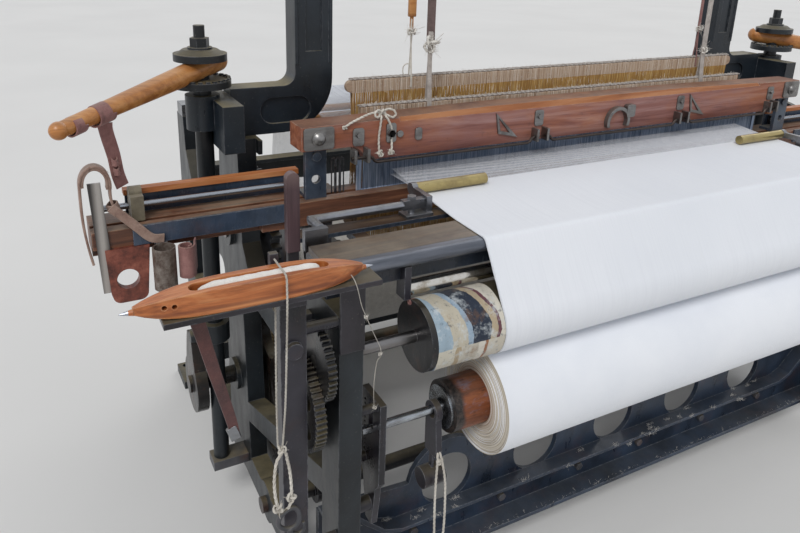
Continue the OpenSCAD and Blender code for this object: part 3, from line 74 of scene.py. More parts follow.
# The photograph's camera, solved from straight lines of the loom
CAMERA_TURN = (28.097, 17.903, 1.765)  # yaw, pitch and roll in degrees
CAMERA_PLACE = (-1189.6, -893.1, 1324.2)
CAMERA_LENS, CAMERA_SENSOR = 31.936, 36
CAMERA_SHIFT = (0.00775, -0.1214)


def deep(y):
    """A depth of the maker's drawing as y in the loom's frame, in metres."""
    return (y - MID_Y) / 1000


def mm(x, y, z):
    """A place in the maker's drawing as a point in the loom's frame."""
    return Vector((x / 1000, deep(y), z / 1000))


def in_mm(points):
    """Places in the maker's drawing as an array of points in the loom's frame."""
    p = np.asarray(points, float) / 1000
    p[:, 1] -= MID_Y / 1000
    return p


def tone(*colour):
    """A paint tone from its screen values: "#rrggbb", or red, green and blue from 0 to 255."""
    if isinstance(colour[0], str):
        colour = bytes.fromhex(colour[0][1:])
    parts = [value / 255 for value in colour]
    return (*(v / 12.92 if v <= 0.04045 else ((v + 0.055) / 1.055) ** 2.4 for v in parts), 1.0)


def shade(colour, part):
    """A darker paint tone of the same hue."""
    return tone(*(part * value for value in colour))


# ---------------------------------------------------------------- handling of pieces


def alone(piece=None):
    """Deselects everything, the frame's nodes too, and takes one piece in hand."""
    for other in list(bpy.context.selected_objects):
        other.select_set(False)
    if piece is not None:
        piece.select_set(True)
        bpy.context.view_layer.objects.active = piece


def cut_out(verts, faces, uv=None):
    """A new piece from worked-out points and faces, with a UV map in metres where one is given."""
    mesh = bpy.data.meshes.new("piece")
    mesh.from_pydata([tuple(v) for v in verts], [], [tuple(f) for f in faces])
    if uv is not None:
        layer = mesh.uv_layers.new(name="length")
        corners = np.zeros(len(mesh.loops), np.int32)
        mesh.loops.foreach_get("vertex_index", corners)
        layer.data.foreach_set("uv", np.asarray(uv, np.float32)[corners].ravel())
    mesh.update()
    piece = bpy.data.objects.new("piece", mesh)
    bpy.context.scene.collection.objects.link(piece)
    return piece


def settle(piece, name, body, finish, smooth=40):
    """Gives a finished piece its name and its finish in a material slot, and hangs it from its body; a piece
    given the bodies it bends between is left unattached.
    """
    alone(piece)
    bpy.ops.object.transform_apply(location=True, rotation=True, scale=True)
    piece.name = name
    piece.data.name = name
    piece.data.materials.clear()
    piece.data.materials.append(finishes[finish])
    if smooth:
        bpy.ops.object.shade_smooth_by_angle(angle=math.radians(smooth))
    if isinstance(body, str):
        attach(piece, body)
    else:
        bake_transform(piece)
    return piece


def fuse(pieces):
    """Joins several pieces into the first one."""
    alone(pieces[0])
    for piece in pieces:
        piece.select_set(True)
    if len(pieces) > 1:
        bpy.ops.object.join()
    return pieces[0]


def drawn_through(points, steps):
    """A smooth line through given points, with so many steps from each to the next."""
    p = np.asarray(points, float)
    line = []
    for i in range(len(p) - 1):
        a, b, c, d = p[max(i - 1, 0)], p[i], p[i + 1], p[min(i + 2, len(p) - 1)]
        for k in range(steps):
            t = k / steps
            line.append(0.5 * (2 * b + (c - a) * t + (2 * a - 5 * b + 4 * c - d) * t * t
                + (3 * b - a - 3 * c + d) * t ** 3))
    line.append(p[-1])
    return np.array(line)


def curve(points, steps):
    """A smooth line through places of the drawing, as points in the loom's frame."""
    return in_mm(drawn_through(points, steps))


def even(path, step):
    """The same line with its points a fixed step apart."""
    path = np.asarray(path, float)
    along = np.concatenate([[0], np.cumsum(np.linalg.norm(np.diff(path, axis=0), axis=1))])
    marks = np.linspace(0, along[-1], max(int(along[-1] / step), 4) + 1)
    return np.stack([np.interp(marks, along, path[:, k]) for k in range(3)], 1)


def laid(path, outline, side=None, twist=0.0, swell=None, ring=False):
    """A new piece from a closed outline carried along a path, with its UV map in metres along the path.

    side keeps the outline's first direction one way, for straps; without it the outline doesn't roll."""
    path = np.asarray(path, float)
    n, m = len(path), len(outline)
    ahead = np.gradient(path, axis=0)
    if ring:
        ahead = np.roll(path, -1, 0) - np.roll(path, 1, 0)
    ahead /= np.linalg.norm(ahead, axis=1)[:, None]
    along = np.concatenate([[0], np.cumsum(np.linalg.norm(np.diff(path, axis=0), axis=1))])
    outline = np.asarray(outline, float)
    across = np.array((0, 0, 1) if abs(ahead[0][2]) < 0.9 else (1, 0, 0), float)
    verts, uv = [], []
    for i in range(n):
        if side is not None:
            across = np.array(side, float)
        across = across - ahead[i] * np.dot(across, ahead[i])
        across = across / np.linalg.norm(across)
        over = np.cross(ahead[i], across)
        turn = twist * along[i]
        c, s = math.cos(turn), math.sin(turn)
        grow = 1.0 if swell is None else swell[i]
        for j, (u, v) in enumerate(outline):
            a, b = (u * c - v * s) * grow, (u * s + v * c) * grow
            verts.append(path[i] + across * a + over * b)
            uv.append((j / m, along[i]))
    faces = []
    for i in range(n if ring else n - 1):
        k = (i + 1) % n
        for j in range(m):
            q = (j + 1) % m
            faces.append((i * m + j, i * m + q, k * m + q, k * m + j))
    if not ring:
        faces.append(tuple(range(m))[::-1])
        faces.append(tuple((n - 1) * m + j for j in range(m)))
    return cut_out(verts, faces, uv)


def prisms(lines, radius, sides=3, start=0.0):
    """Many fine threads of one kind: each line is an (n, 3) array; returns points and faces of them all."""
    verts, faces = [], []
    base = 0
    for line in lines:
        n = len(line)
        ahead = np.gradient(line, axis=0)
        ahead /= np.linalg.norm(ahead, axis=1)[:, None]
        across = np.cross(ahead, (0.0, 0.31, 0.95) if abs(ahead[0][2]) < 0.8 else (0.0, 1.0, 0.05))
        across /= np.linalg.norm(across, axis=1)[:, None]
        over = np.cross(ahead, across)
        for k in range(sides):
            a = 2 * math.pi * k / sides + start
            verts.append(line + radius * (math.cos(a) * across + math.sin(a) * over))
        for i in range(n - 1):
            for k in range(sides):
                q = (k + 1) % sides
                faces.append((base + k * n + i, base + q * n + i, base + q * n + i + 1, base + k * n + i + 1))
        faces.append(tuple(base + k * n for k in range(sides))[::-1])
        faces.append(tuple(base + k * n + n - 1 for k in range(sides)))
        base += n * sides
    return np.concatenate(verts), faces


def rounded(radius, sides):
    """The outline of a round wire."""
    return [(radius * math.cos(2 * math.pi * k / sides), radius * math.sin(2 * math.pi * k / sides))
        for k in range(sides)]


def plied(radius, plies=3, sides=12):
    """The lobed outline of a string laid from several plies."""
    line = []
    for k in range(sides):
        a = 2 * math.pi * k / sides
        r = radius * (0.84 + 0.16 * math.cos(plies * a))
        line.append((r * math.cos(a), r * math.sin(a)))
    return line


def strap_outline(width, thick, edge=0.25):
    """The outline of a strap, with softened edges."""
    w, t = width / 2, thick / 2
    e = min(t * 0.8, width * edge)
    return [(-w, -t + e), (-w + e * 0.6, -t), (0, -t), (w - e * 0.6, -t), (w, -t + e), (w, t - e),
        (w - e * 0.6, t), (0, t), (-w + e * 0.6, t), (-w, t - e)]


def turned(profile, axis, steps):
    """A piece turned about an axis of the drawing: (x, radius) pairs, in metres, spun once round."""
    y, z = deep(axis[0]), axis[1] / 1000
    piece = cut_out([(x, y, z + r) for x, r in profile], [])
    mesh = piece.data
    mesh.edges.add(len(profile) - 1)
    for i in range(len(profile) - 1):
        mesh.edges[i].vertices = (i, i + 1)
    mesh.update()
    alone(piece)
    bpy.ops.object.mode_set(mode="EDIT")
    bpy.ops.mesh.select_all(action="SELECT")
    bpy.ops.mesh.spin(steps=steps, angle=2 * math.pi, center=(0, y, z), axis=(1, 0, 0))
    bpy.ops.mesh.select_all(action="SELECT")
    bpy.ops.mesh.remove_doubles(threshold=0.00001)
    bpy.ops.mesh.normals_make_consistent(inside=False)
    bpy.ops.object.mode_set(mode="OBJECT")
    return piece


# ---------------------------------------------------------------- finishes


class Finish:
    """One procedural finish, built up step by step on the piece's own Object coordinates."""

    def __init__(self, name, metal=0.0, specular=0.5, coat=0.0, sheen=0.0, anisotropic=0.0):
        self.material = bpy.data.materials.new(name)
        self.material.use_nodes = True
        self.nodes = self.material.node_tree.nodes
        self.links = self.material.node_tree.links
        self.shader = self.nodes["Principled BSDF"]
        for socket, value in (("Metallic", metal), ("Specular IOR Level", specular), ("Coat Weight", coat),
                ("Coat Roughness", 0.25), ("Sheen Weight", sheen), ("Anisotropic", anisotropic)):
            self.shader.inputs[socket].default_value = value
        self.spots = self.nodes.new("ShaderNodeTexCoord")
        self.x, self.y, self.z = self.split("Object")

    def plug(self, socket, value):
        """Sets an input to another node's output, a "#rrggbb" tone, a grey or a plain value."""
        if isinstance(value, bpy.types.NodeSocket):
            self.links.new(value, socket)
        elif isinstance(value, str):
            socket.default_value = tone(value)
        elif socket.type == "RGBA" and isinstance(value, float):
            socket.default_value = (value, value, value, 1)
        else:
            socket.default_value = value

    def node(self, kind, inputs, **settings):
        """A new node's outputs, after its settings and inputs are made."""
        node = self.nodes.new("ShaderNode" + kind)
        for name, value in settings.items():
            setattr(node, name, value)
        for socket, value in inputs.items():
            self.plug(node.inputs[socket], value)
        return node.outputs

    def split(self, spots):
        """The x, y and z of one of the piece's own coordinates."""
        return self.node("SeparateXYZ", {0: self.spots.outputs[spots]})

    def calc(self, operation, a, b=0.0, clamp=False):
        return self.node("Math", {0: a, 1: b}, operation=operation, use_clamp=clamp)[0]

    def plus(self, a, b, clamp=False):
        return self.calc("ADD", a, b, clamp)

    def above(self, value, limit):
        return self.calc("GREATER_THAN", value, limit)

    def below(self, value, limit):
        return self.calc("LESS_THAN", value, limit)

    def size_of(self, value):
        return self.calc("ABSOLUTE", value)

    def times(self, *values):
        result = values[0]
        for value in values[1:]:
            result = self.calc("MULTIPLY", result, value)
        return result

    def mix(self, amount, a, b):
        return self.node("Mix", {0: amount, 6: a, 7: b}, data_type="RGBA")[2]

    def spread(self, value, low, high, to_low=0.0, to_high=1.0):
        """The value carried from one range to another, and held at its ends."""
        return self.node("MapRange", dict(enumerate((value, low, high, to_low, to_high))), clamp=True)[0]

    def stain(self, colour, value, low, high, most, tint):
        """The colour with a tint over it, from none where the value is low to most where it is high."""
        return self.mix(self.spread(value, low, high, 0, most), colour, tint)

    def place(self, size=(1, 1, 1), move=(0, 0, 0), by="Object"):
        return self.node("Mapping", {"Vector": self.spots.outputs[by], "Scale": size, "Location": move})[0]

    def grain(self, scale, detail, rough=0.55, size=(1, 1, 1), move=(0, 0, 0), warp=0.0, by="Object"):
        """Cloudy noise."""
        return self.node("TexNoise", {"Vector": self.place(size, move, by), "Scale": scale, "Detail": detail,
            "Roughness": rough, "Distortion": warp})["Fac"]

    def cells(self, scale):
        """Distance to the nearest of many scattered points."""
        return self.node("TexVoronoi", {"Vector": self.place(), "Scale": scale})["Distance"]

    def bands(self, scale, along, warp, detail, size=(1, 1, 1), by="Object"):
        """Wavy stripes."""
        return self.node("TexWave", {"Vector": self.place(size, by=by), "Scale": scale, "Distortion": warp,
            "Detail": detail}, bands_direction=along)["Fac"]

    def stops(self, value, *stops, step=False):
        """A colour ramp, smooth or in steps."""
        node = self.nodes.new("ShaderNodeValToRGB")
        ramp = node.color_ramp
        if step:
            ramp.interpolation = "CONSTANT"
        while len(ramp.elements) < len(stops):
            ramp.elements.new(0.5)
        for element, (position, colour) in zip(ramp.elements, stops):
            element.position = position
            element.color = tone(colour) if isinstance(colour, str) else colour
        self.plug(node.inputs[0], value)
        return node.outputs[0]

    def upward(self, low, high):
        """How far the surface faces up."""
        return self.spread(self.split("Normal")[2], low, high)

    def rim(self, radius):
        """Where an edge is near: the rounded normal against the flat one."""
        soft = self.node("Bevel", {"Radius": radius}, samples=4)[0]
        flat = self.node("NewGeometry", {})["Normal"]
        same = self.node("VectorMath", {0: soft, 1: flat}, operation="DOT_PRODUCT")["Value"]
        return self.calc("MULTIPLY", self.calc("SUBTRACT", 1.0, same), 5.0, clamp=True)

    def within(self, low, high):
        """1 inside a box of the piece, 0 outside; None leaves a side open."""
        parts = []
        for spot, least, most in zip((self.x, self.y, self.z), low, high):
            if least is not None:
                parts.append(self.above(spot, least))
            if most is not None:
                parts.append(self.below(spot, most))
        return self.times(*parts)

    def from_axis(self, y, z):
        """The spot's y, z and distance from an axis along X of the drawing."""
        dy = self.calc("SUBTRACT", self.y, deep(y))
        dz = self.calc("SUBTRACT", self.z, z / 1000)
        return dy, dz, self.calc("SQRT", self.plus(self.times(dy, dy), self.times(dz, dz)))

    def close(self, colour, rough, height=None, strength=0.4, depth=0.001, metal=None, soft_edge=None):
        """Plugs colour, roughness, relief and rounded edges into the shader."""
        self.plug(self.shader.inputs["Base Color"], colour)
        self.plug(self.shader.inputs["Roughness"], rough)
        if metal is not None:
            self.plug(self.shader.inputs["Metallic"], metal)
        relief = {"Strength": strength, "Distance": depth, "Height": height}
        normal = None
        if soft_edge:
            normal = relief["Normal"] = self.node("Bevel", {"Radius": soft_edge}, samples=4)[0]
        if height is not None:
            normal = self.node("Bump", relief)[0]
        if normal is not None:
            self.plug(self.shader.inputs["Normal"], normal)
        return self.material


def iron_finish(name, dark, pale, dust, gloss, wear=0.5, dust_tone=(112, 103, 78), rust=0.0, move=0.0,
        done=True):
    """Painted casting: blotched paint, oily streaks, rubbed edges and mill dust where it faces up."""
    f = Finish(name, specular=0.38, coat=0.05)
    shift = (move, move * 0.7, move * 0.3)
    blotch = f.grain(5.5, 6, 0.6, move=shift)
    colour = f.stops(blotch, (0.34, tone(*dark)), (0.66, tone(*pale)))
    oil = f.grain(26, 7, 0.62, size=(1, 1, 0.35), move=shift)
    colour = f.stain(colour, oil, 0.5, 0.78, 0.55, shade(dark, 0.5))
    chips = f.grain(85, 5, 0.6, move=shift)
    if rust:
        colour = f.mix(f.times(f.spread(f.grain(13, 8, 0.7, move=shift), 0.52, 0.72), rust), colour,
            "#704830")
    bare = f.times(f.rim(0.0028), f.spread(chips, 0.36, 0.6), wear)
    colour = f.mix(bare, colour, "#8a8c92")
    speck = f.spread(f.grain(330, 2, 0.5, move=shift), 0.68, 0.8, 0, 0.35)
    colour = f.mix(speck, colour, "#969284")
    settled = f.times(f.upward(0.4, 0.97), f.spread(f.grain(8, 7, 0.66, move=shift), 0.26, 0.6), dust)
    colour = f.mix(settled, colour,
        f.mix(f.grain(60, 4), tone(*dust_tone),
        tone(dust_tone[0] + 34, dust_tone[1] + 30, dust_tone[2] + 22)))
    rough = f.plus(f.spread(oil, 0.3, 0.75, gloss + 0.12, gloss - 0.08), f.times(settled, 0.42), clamp=True)
    height = f.plus(f.times(f.grain(70, 6, 0.65, move=shift), 0.8), f.times(chips, 0.35))
    if not done:
        return f, colour, rough, height
    return f.close(colour, rough, height, 0.35, 0.0012, soft_edge=0.0022)


def bright_finish(name, shine, stain, rough, stained, dust, scale=30):
    """Bare steel or brass: drawn along its length, stained and dusted."""
    f = Finish(name, metal=1.0, anisotropic=0.2)
    drawn = f.grain(scale * 6, 3, 0.6, size=(0.15, 1, 1))
    cloud = f.grain(scale * 0.5, 6, 0.65)
    colour = f.mix(f.spread(drawn, 0.3, 0.75, 0, 0.5), tone(*shine), shade(shine, 0.72))
    spots = f.times(f.spread(cloud, 0.5, 0.72), stained)
    colour = f.mix(spots, colour, tone(*stain))
    settled = f.times(f.upward(0.5, 1.0), f.spread(f.grain(14, 7, 0.7), 0.35, 0.7), dust)
    colour = f.mix(settled, colour, "#968e76")
    roughness = f.plus(f.spread(drawn, 0.2, 0.8, rough - 0.07, rough + 0.12), f.times(spots, 0.3), clamp=True)
    metal = f.spread(f.plus(f.times(spots, 0.8), settled), 0.0, 1.0, 1.0, 0.1)
    return f.close(colour, roughness, f.plus(f.times(drawn, 0.4), cloud), 0.2, 0.0006, metal=metal,
        soft_edge=0.0012)


def timber_finish(name, dark, mid, light, gloss=0.5, dust=0.3, rubbed=None, fine=1.0, coat=0.1, done=True):
    """Wood: long grain, pores, darker streaks and rubbed edges."""
    f = Finish(name, specular=0.4, coat=coat)
    rings = f.grain(34 * fine, 5, 0.6, size=(0.12, 1, 1), warp=1.4)
    pores = f.grain(420 * fine, 3, 0.6, size=(0.05, 1, 1))
    streak = f.grain(120 * fine, 5, 0.7, size=(0.05, 1, 1), move=(3, 1, 2))
    colour = f.stops(rings, (0.28, tone(*dark)), (0.5, tone(*mid)), (0.74, tone(*light)))
    colour = f.stain(colour, streak, 0.5, 0.75, 0.6, shade(dark, 0.72))
    colour = f.stain(colour, pores, 0.6, 0.8, 0.45, shade(dark, 0.5))
    if rubbed:
        colour = f.mix(f.times(f.rim(0.003), f.spread(f.grain(40, 5), 0.3, 0.55), 0.8), colour, tone(*rubbed))
    settled = f.times(f.upward(0.55, 1.0), f.spread(f.grain(11, 7, 0.68), 0.3, 0.62), dust)
    colour = f.mix(settled, colour, "#aa9e88")
    rough = f.plus(f.spread(streak, 0.2, 0.8, gloss - 0.1, gloss + 0.16), f.times(settled, 0.3), clamp=True)
    height = f.plus(f.times(pores, 0.5), streak)
    if not done:
        return f, colour, rough, height
    return f.close(colour, rough, height, 0.3, 0.0007, soft_edge=0.0015)


def leather_finish(name, dark, light, gloss=0.62, fibre=0.3, dust=0.35):
    """Dusty leather: pebbled grain, creases, and pale fibres on its cut edges."""
    f = Finish(name, specular=0.35, sheen=0.15)
    pebble = f.cells(900)
    cloud = f.grain(24, 7, 0.68)
    folds = f.grain(70, 5, 0.7, size=(1, 1, 0.45), warp=0.8)
    colour = f.stops(cloud, (0.3, tone(*dark)), (0.7, tone(*light)))
    colour = f.stain(colour, folds, 0.55, 0.78, 0.7, shade(dark, 0.55))
    hair = f.spread(f.grain(700, 3, 0.7, size=(1, 0.3, 1)), 0.56, 0.75, 0, fibre)
    colour = f.mix(hair, colour, "#c6b09c")
    settled = f.times(f.upward(0.3, 1.0), f.spread(f.grain(30, 6, 0.7), 0.35, 0.65), dust)
    colour = f.mix(settled, colour, "#9e907a")
    height = f.plus(f.times(pebble, 0.35), folds)
    return f.close(colour, f.spread(cloud, 0.3, 0.7, gloss - 0.12, gloss + 0.16), height, 0.5, 0.0012)


def thread_finish(name, base, second, sheen=0.25):
    """Spun cotton: plies, slubs and loose fibres."""
    f = Finish(name, specular=0.2, sheen=sheen)
    slub = f.grain(60, 5, 0.65)
    ply = f.grain(1400, 2, 0.6, size=(1, 1, 0.4))
    colour = f.stops(slub, (0.3, tone(*base)), (0.72, tone(*second)))
    colour = f.stain(colour, ply, 0.45, 0.75, 0.5, shade(base, 0.7))
    colour = f.stain(colour, f.grain(520, 3), 0.62, 0.78, 0.5, "#e8e2d6")
    return f.close(colour, 0.88, ply, 0.5, 0.0005)


def string_finish(name, base, second):
    """Laid string: its plies wind round it, read along the string's own UV map."""
    f = Finish(name, specular=0.2, sheen=0.35)
    lay = f.bands(1.0, "DIAGONAL", 1.5, 2, size=(3.0, 420, 1), by="UV")
    soil = f.grain(26, 6, 0.7)
    colour = f.stops(soil, (0.35, tone(*second)), (0.62, tone(*base)))
    colour = f.mix(f.spread(lay, 0.0, 0.45, 0.45, 0), colour, shade(second, 0.62))
    colour = f.stain(colour, f.grain(900, 3), 0.6, 0.75, 0.5, "#f0ece2")
    return f.close(colour, 0.9, f.plus(lay, f.times(f.grain(900, 3), 0.5)), 0.6, 0.0006)


def cloth_finish(name):
    """Plain-woven white cotton: warp and weft ribs, faint reed marks along it and soft shading."""
    f = Finish(name, specular=0.18, sheen=0.2)
    ends = f.bands(1.0, "X", 0.6, 2, size=(320, 320, 320), by="UV")
    picks = f.bands(1.0, "Y", 0.6, 2, size=(300, 300, 300), by="UV")
    marks = f.grain(6, 4, 0.6, size=(60, 0.6, 1), by="UV")
    soft = f.grain(2.2, 4, 0.55, by="UV")
    colour = f.mix(f.spread(soft, 0.35, 0.65), "#e8ebf0", "#f0f2f6")
    colour = f.stain(colour, marks, 0.45, 0.7, 0.35, "#dee0e6")
    weave = f.times(ends, picks)
    colour = f.mix(f.spread(weave, 0.0, 0.5, 0.25, 0), colour, "#ced0d6")
    slubs = f.spread(f.grain(50, 5, 0.7, size=(3, 0.25, 1), by="UV"), 0.66, 0.78, 0, 0.5)
    colour = f.mix(slubs, colour, "#e0dace")
    height = f.plus(weave, f.times(marks, 0.4))
    return f.close(colour, 0.86, height, 0.25, 0.0005)


def wound_finish(name, inner):
    """Cloth wound on a roll: white round the outside, stained rings on its ends."""
    f = Finish(name, specular=0.18, sheen=0.2)
    r = f.from_axis(*CLOTH_ROLLER)[2]
    layers = f.node("TexNoise", {"W": f.times(r, 900.0), "Scale": 0.55, "Detail": 4},
        noise_dimensions="1D")["Fac"]
    ring = f.stops(layers, (0.3, "#968470"), (0.47, "#c4baa8"), (0.6, "#ded8cc"), (0.75, "#b09e82"))
    ring = f.mix(f.spread(r, inner, inner + 0.02, 0.6, 0), ring, "#8c6854")
    end = f.spread(f.size_of(f.split("Normal")[0]), 0.35, 0.75)
    picks = f.bands(300, "X", 0.6, 2)
    skin = f.mix(f.spread(f.grain(5, 5), 0.35, 0.65), "#e6e9ef", "#f0f2f6")
    skin = f.mix(f.spread(picks, 0, 0.5, 0.2, 0), skin, "#ced0d6")
    return f.close(f.mix(end, skin, ring), 0.88, f.plus(f.times(picks, 0.4), layers), 0.3, 0.0006)


def reed_finish():
    """Reed: blue-grey polished wires, kept pale as painted light, with painted highlights breaking along
    them.
    """
    f = Finish("reed_wires", metal=0.35, specular=0.6)
    each = f.grain(520, 2, 0.6, size=(1, 0.02, 0.02))
    patch = f.grain(9, 5, 0.6, size=(1, 1, 0.5))
    # The pale stops are painted highlights along the wires, and the whole ramp is kept light as painted light
    # against the shade under the cap.
    colour = f.stops(each, (0.3, "#607088"), (0.5, "#96a8c2"), (0.7, "#ced8e6"))
    colour = f.stain(colour, patch, 0.42, 0.68, 0.55, "#5c708e")
    return f.close(colour, 0.34, each, 0.2, 0.0004)


def roller_finish():
    """Cloth roller: red-brown wood worn blue-white near the cloth, the blue-white partly a painted highlight,
    black crusted ends, bright journals.
    """
    f, colour, rough, height = timber_finish("cloth_roller_timber", (62, 34, 24), (124, 68, 40),
        (158, 96, 58), gloss=0.42, dust=0.2, coat=0.05, done=False)
    x = f.size_of(f.x)
    # The blue-white streaks are worn paint and also a painted highlight on the wood.
    worn = f.grain(34, 7, 0.72, size=(0.35, 1, 1))
    colour = f.stain(colour, worn, 0.5, 0.66, 0.75, "#788092")
    colour = f.stain(colour, f.grain(70, 6, 0.7, size=(0.4, 1, 1)), 0.55, 0.7, 0.8, "#261c1c")
    crust = f.spread(f.plus(x, f.times(f.grain(30, 5), 0.02)), 0.588, 0.598)
    colour = f.mix(crust, colour, f.mix(f.spread(f.grain(120, 6, 0.7), 0.4, 0.7), "#141212", "#4e423c"))
    journal = f.above(x, 0.6004)
    steel = f.mix(f.spread(f.grain(60, 6, 0.7, size=(0.3, 1, 1)), 0.35, 0.7), "#b0b6bc", "#58504a")
    colour = f.mix(journal, colour, steel)
    return f.close(colour, f.mix(journal, rough, 0.26), height, 0.5, 0.0012, metal=journal)


def heald_finish():
    """Heald cords: ochre varnished twine between the staves, bleached and furry where it wraps them."""
    f = Finish("heald_twine", specular=0.25, sheen=0.2)
    streak = f.grain(300, 4, 0.65, size=(1, 1, 0.02))
    cloud = f.grain(22, 5, 0.6, size=(1, 1, 0.3))
    ochre = f.stops(streak, (0.3, "#7a5228"), (0.5, "#b28a4e"), (0.66, "#d0b27a"), (0.8, "#e0d0b0"))
    ochre = f.mix(f.spread(cloud, 0.45, 0.7, 0, 0.5), ochre, "#967042")
    pale = f.stops(streak, (0.3, "#8a6c58"), (0.5, "#baa48e"), (0.72, "#ded4c8"))
    high = f.calc("MAXIMUM", f.within((None, deep(430), 1.0155), (None, None, None)),
        f.within((None, None, 0.9505), (None, deep(430), None)))
    low = f.calc("MAXIMUM", f.within((None, deep(430), None), (None, None, 0.742)),
        f.within((None, None, None), (None, deep(430), 0.678)))
    wrap = f.calc("MAXIMUM", high, low)
    return f.close(f.mix(wrap, ochre, pale), 0.85, streak, 0.5, 0.0005)


def cap_finish():
    """Slay cap: worn red-brown paint bleached pink-grey, and along the middle of the rear bevel bare orange
    wood that is also a painted highlight.
    """
    f = Finish("worn_cap_paint", specular=0.35)
    grain = f.grain(36, 6, 0.62, size=(0.07, 1, 1), warp=1.2)
    fine = f.grain(210, 4, 0.65, size=(0.06, 1, 1))
    patch = f.grain(4.5, 6, 0.66, size=(0.5, 1, 1.4))
    paint = f.stops(grain, (0.3, "#683e38"), (0.48, "#8a5c54"), (0.7, "#a47e78"))
    orange = f.stops(grain, (0.32, "#74402c"), (0.5, "#9c6044"), (0.72, "#b27e62"))
    colour = f.mix(f.spread(patch, 0.44, 0.6), paint, orange)
    colour = f.stain(colour, fine, 0.56, 0.74, 0.65, "#623e3a")
    colour = f.stain(colour, f.grain(17, 7, 0.7), 0.6, 0.74, 0.6, "#4a3a38")
    # Painted highlight: the middle of the rear bevel, where it slopes up, gets bare orange wood that also
    # stands in for light falling on it.
    bevel = f.spread(f.times(f.upward(0.15, 0.4), f.within((-0.53, None, 0.97), (0.57, None, None))), 0.1,
        0.6)
    raw_wood_and_highlight = f.stops(grain, (0.3, "#683a20"), (0.5, "#985e38"), (0.75, "#b8845c"))
    colour = f.mix(bevel, colour, raw_wood_and_highlight)
    top = f.upward(0.93, 0.995)
    grime = f.mix(f.spread(f.grain(9, 6, 0.7), 0.35, 0.65), "#54382c", "#86644c")
    colour = f.mix(f.times(top, f.spread(f.grain(14, 6, 0.7), 0.25, 0.6, 0.5, 0.95)), colour, grime)
    colour = f.mix(f.times(f.rim(0.003), f.spread(f.grain(55, 5), 0.34, 0.56), 0.7), colour, "#cab09e")
    low = f.spread(f.z, 0.905, 0.93, 0.5, 0)
    colour = f.mix(low, colour, "#5c3a38")
    height = f.plus(f.times(fine, 0.6), grain)
    return f.close(colour, f.spread(patch, 0.3, 0.7, 0.46, 0.66), height, 0.35, 0.0009, soft_edge=0.0022)


def shuttle_finish():
    """Shuttle: oiled orange wood with long dark grain, steel tips."""
    f, colour, rough, height = timber_finish("shuttle_timber", (126, 64, 28), (184, 106, 54), (210, 142, 88),
        gloss=0.34, dust=0.05, rubbed=(224, 164, 116), fine=1.6, coat=0.3, done=False)
    line = f.spread(f.bands(9, "Z", 5.0, 3, size=(0.12, 1, 1)), 0.0, 0.16, 0.55, 0)
    colour = f.mix(line, colour, "#602c18")
    tip = f.above(f.size_of(f.plus(f.x, 0.948)), 0.1612)
    inside = f.within((-1.022, deep(-72.4), 0.868), (-0.858, deep(-51.6), 0.8965))
    colour = f.mix(f.times(inside, 0.4), colour, "#78462c")
    colour = f.mix(tip, colour, "#b0b4bc")
    return f.close(colour, f.mix(tip, rough, 0.25), height, 0.25, 0.0006, metal=tip, soft_edge=0.0016)


def cover_finish():
    """Patched covering of the take-up roller: strips of old cloth stuck on side by side and aslant."""
    f = Finish("patched_cover", specular=0.3, sheen=0.1)
    dy, dz, _ = f.from_axis(*TAKE_UP)
    angle = f.calc("DIVIDE", f.calc("ARCTAN2", dz, dy), math.pi)
    ragged = f.grain(26, 5, 0.6)
    x = f.size_of(f.x)
    strip = f.spread(x, 0.662, 0.536)
    strip = f.plus(strip, f.times(f.calc("SUBTRACT", ragged, 0.5), 0.12))
    strip = f.plus(strip, f.times(f.calc("SINE", f.times(angle, 5.2)), 0.1))
    colour = f.stops(strip, (0.0, "#96a8b4"), (0.1, "#bab2a0"), (0.34, "#94a6b6"), (0.42, "#262e3c"),
        (0.7, "#b0a086"), (0.8, "#684248"), (0.85, "#d0cabc"), step=True)
    other = f.stops(strip, (0.0, "#788694"), (0.1, "#c6c0b0"), (0.34, "#aa987c"), (0.42, "#beb8aa"),
        (0.7, "#d0cabe"), (0.8, "#966848"), (0.85, "#c4bcac"), step=True)
    colour = f.mix(f.above(f.plus(angle, f.times(ragged, 0.3)), -0.55), other, colour)
    rub = f.grain(42, 7, 0.72)
    colour = f.stain(colour, rub, 0.52, 0.66, 0.75, "#cad0d2")
    colour = f.stain(colour, f.grain(130, 5, 0.7), 0.56, 0.7, 0.7, "#424a56")
    colour = f.stain(colour, f.grain(19, 6, 0.7), 0.54, 0.68, 0.6, "#805c3c")
    thick = f.plus(f.times(f.calc("FRACT", f.times(strip, 5.0)), 0.6), f.grain(240, 3))
    return f.close(colour, 0.7, thick, 0.45, 0.0012)


def take_up_finish():
    """Take-up roller: bright journal, black iron ends and greasy wheel."""
    f, colour, rough, height = iron_finish("take_up_iron", (12, 12, 14), (32, 32, 35), dust=0.25, gloss=0.28,
        rust=0.3, move=4.0, done=False)
    r = f.from_axis(*TAKE_UP)[2]
    journal = f.below(r, 0.0103)
    colour = f.mix(journal, colour, f.mix(f.grain(40, 6, 0.7, size=(0.3, 1, 1)), "#969698", "#5c544c"))
    groove = f.times(f.above(r, 0.0555), f.below(r, 0.0572))
    colour = f.mix(groove, colour, "#0c0c0e")
    return f.close(colour, f.mix(journal, rough, 0.3), height, 0.35, 0.001, metal=journal, soft_edge=0.0015)


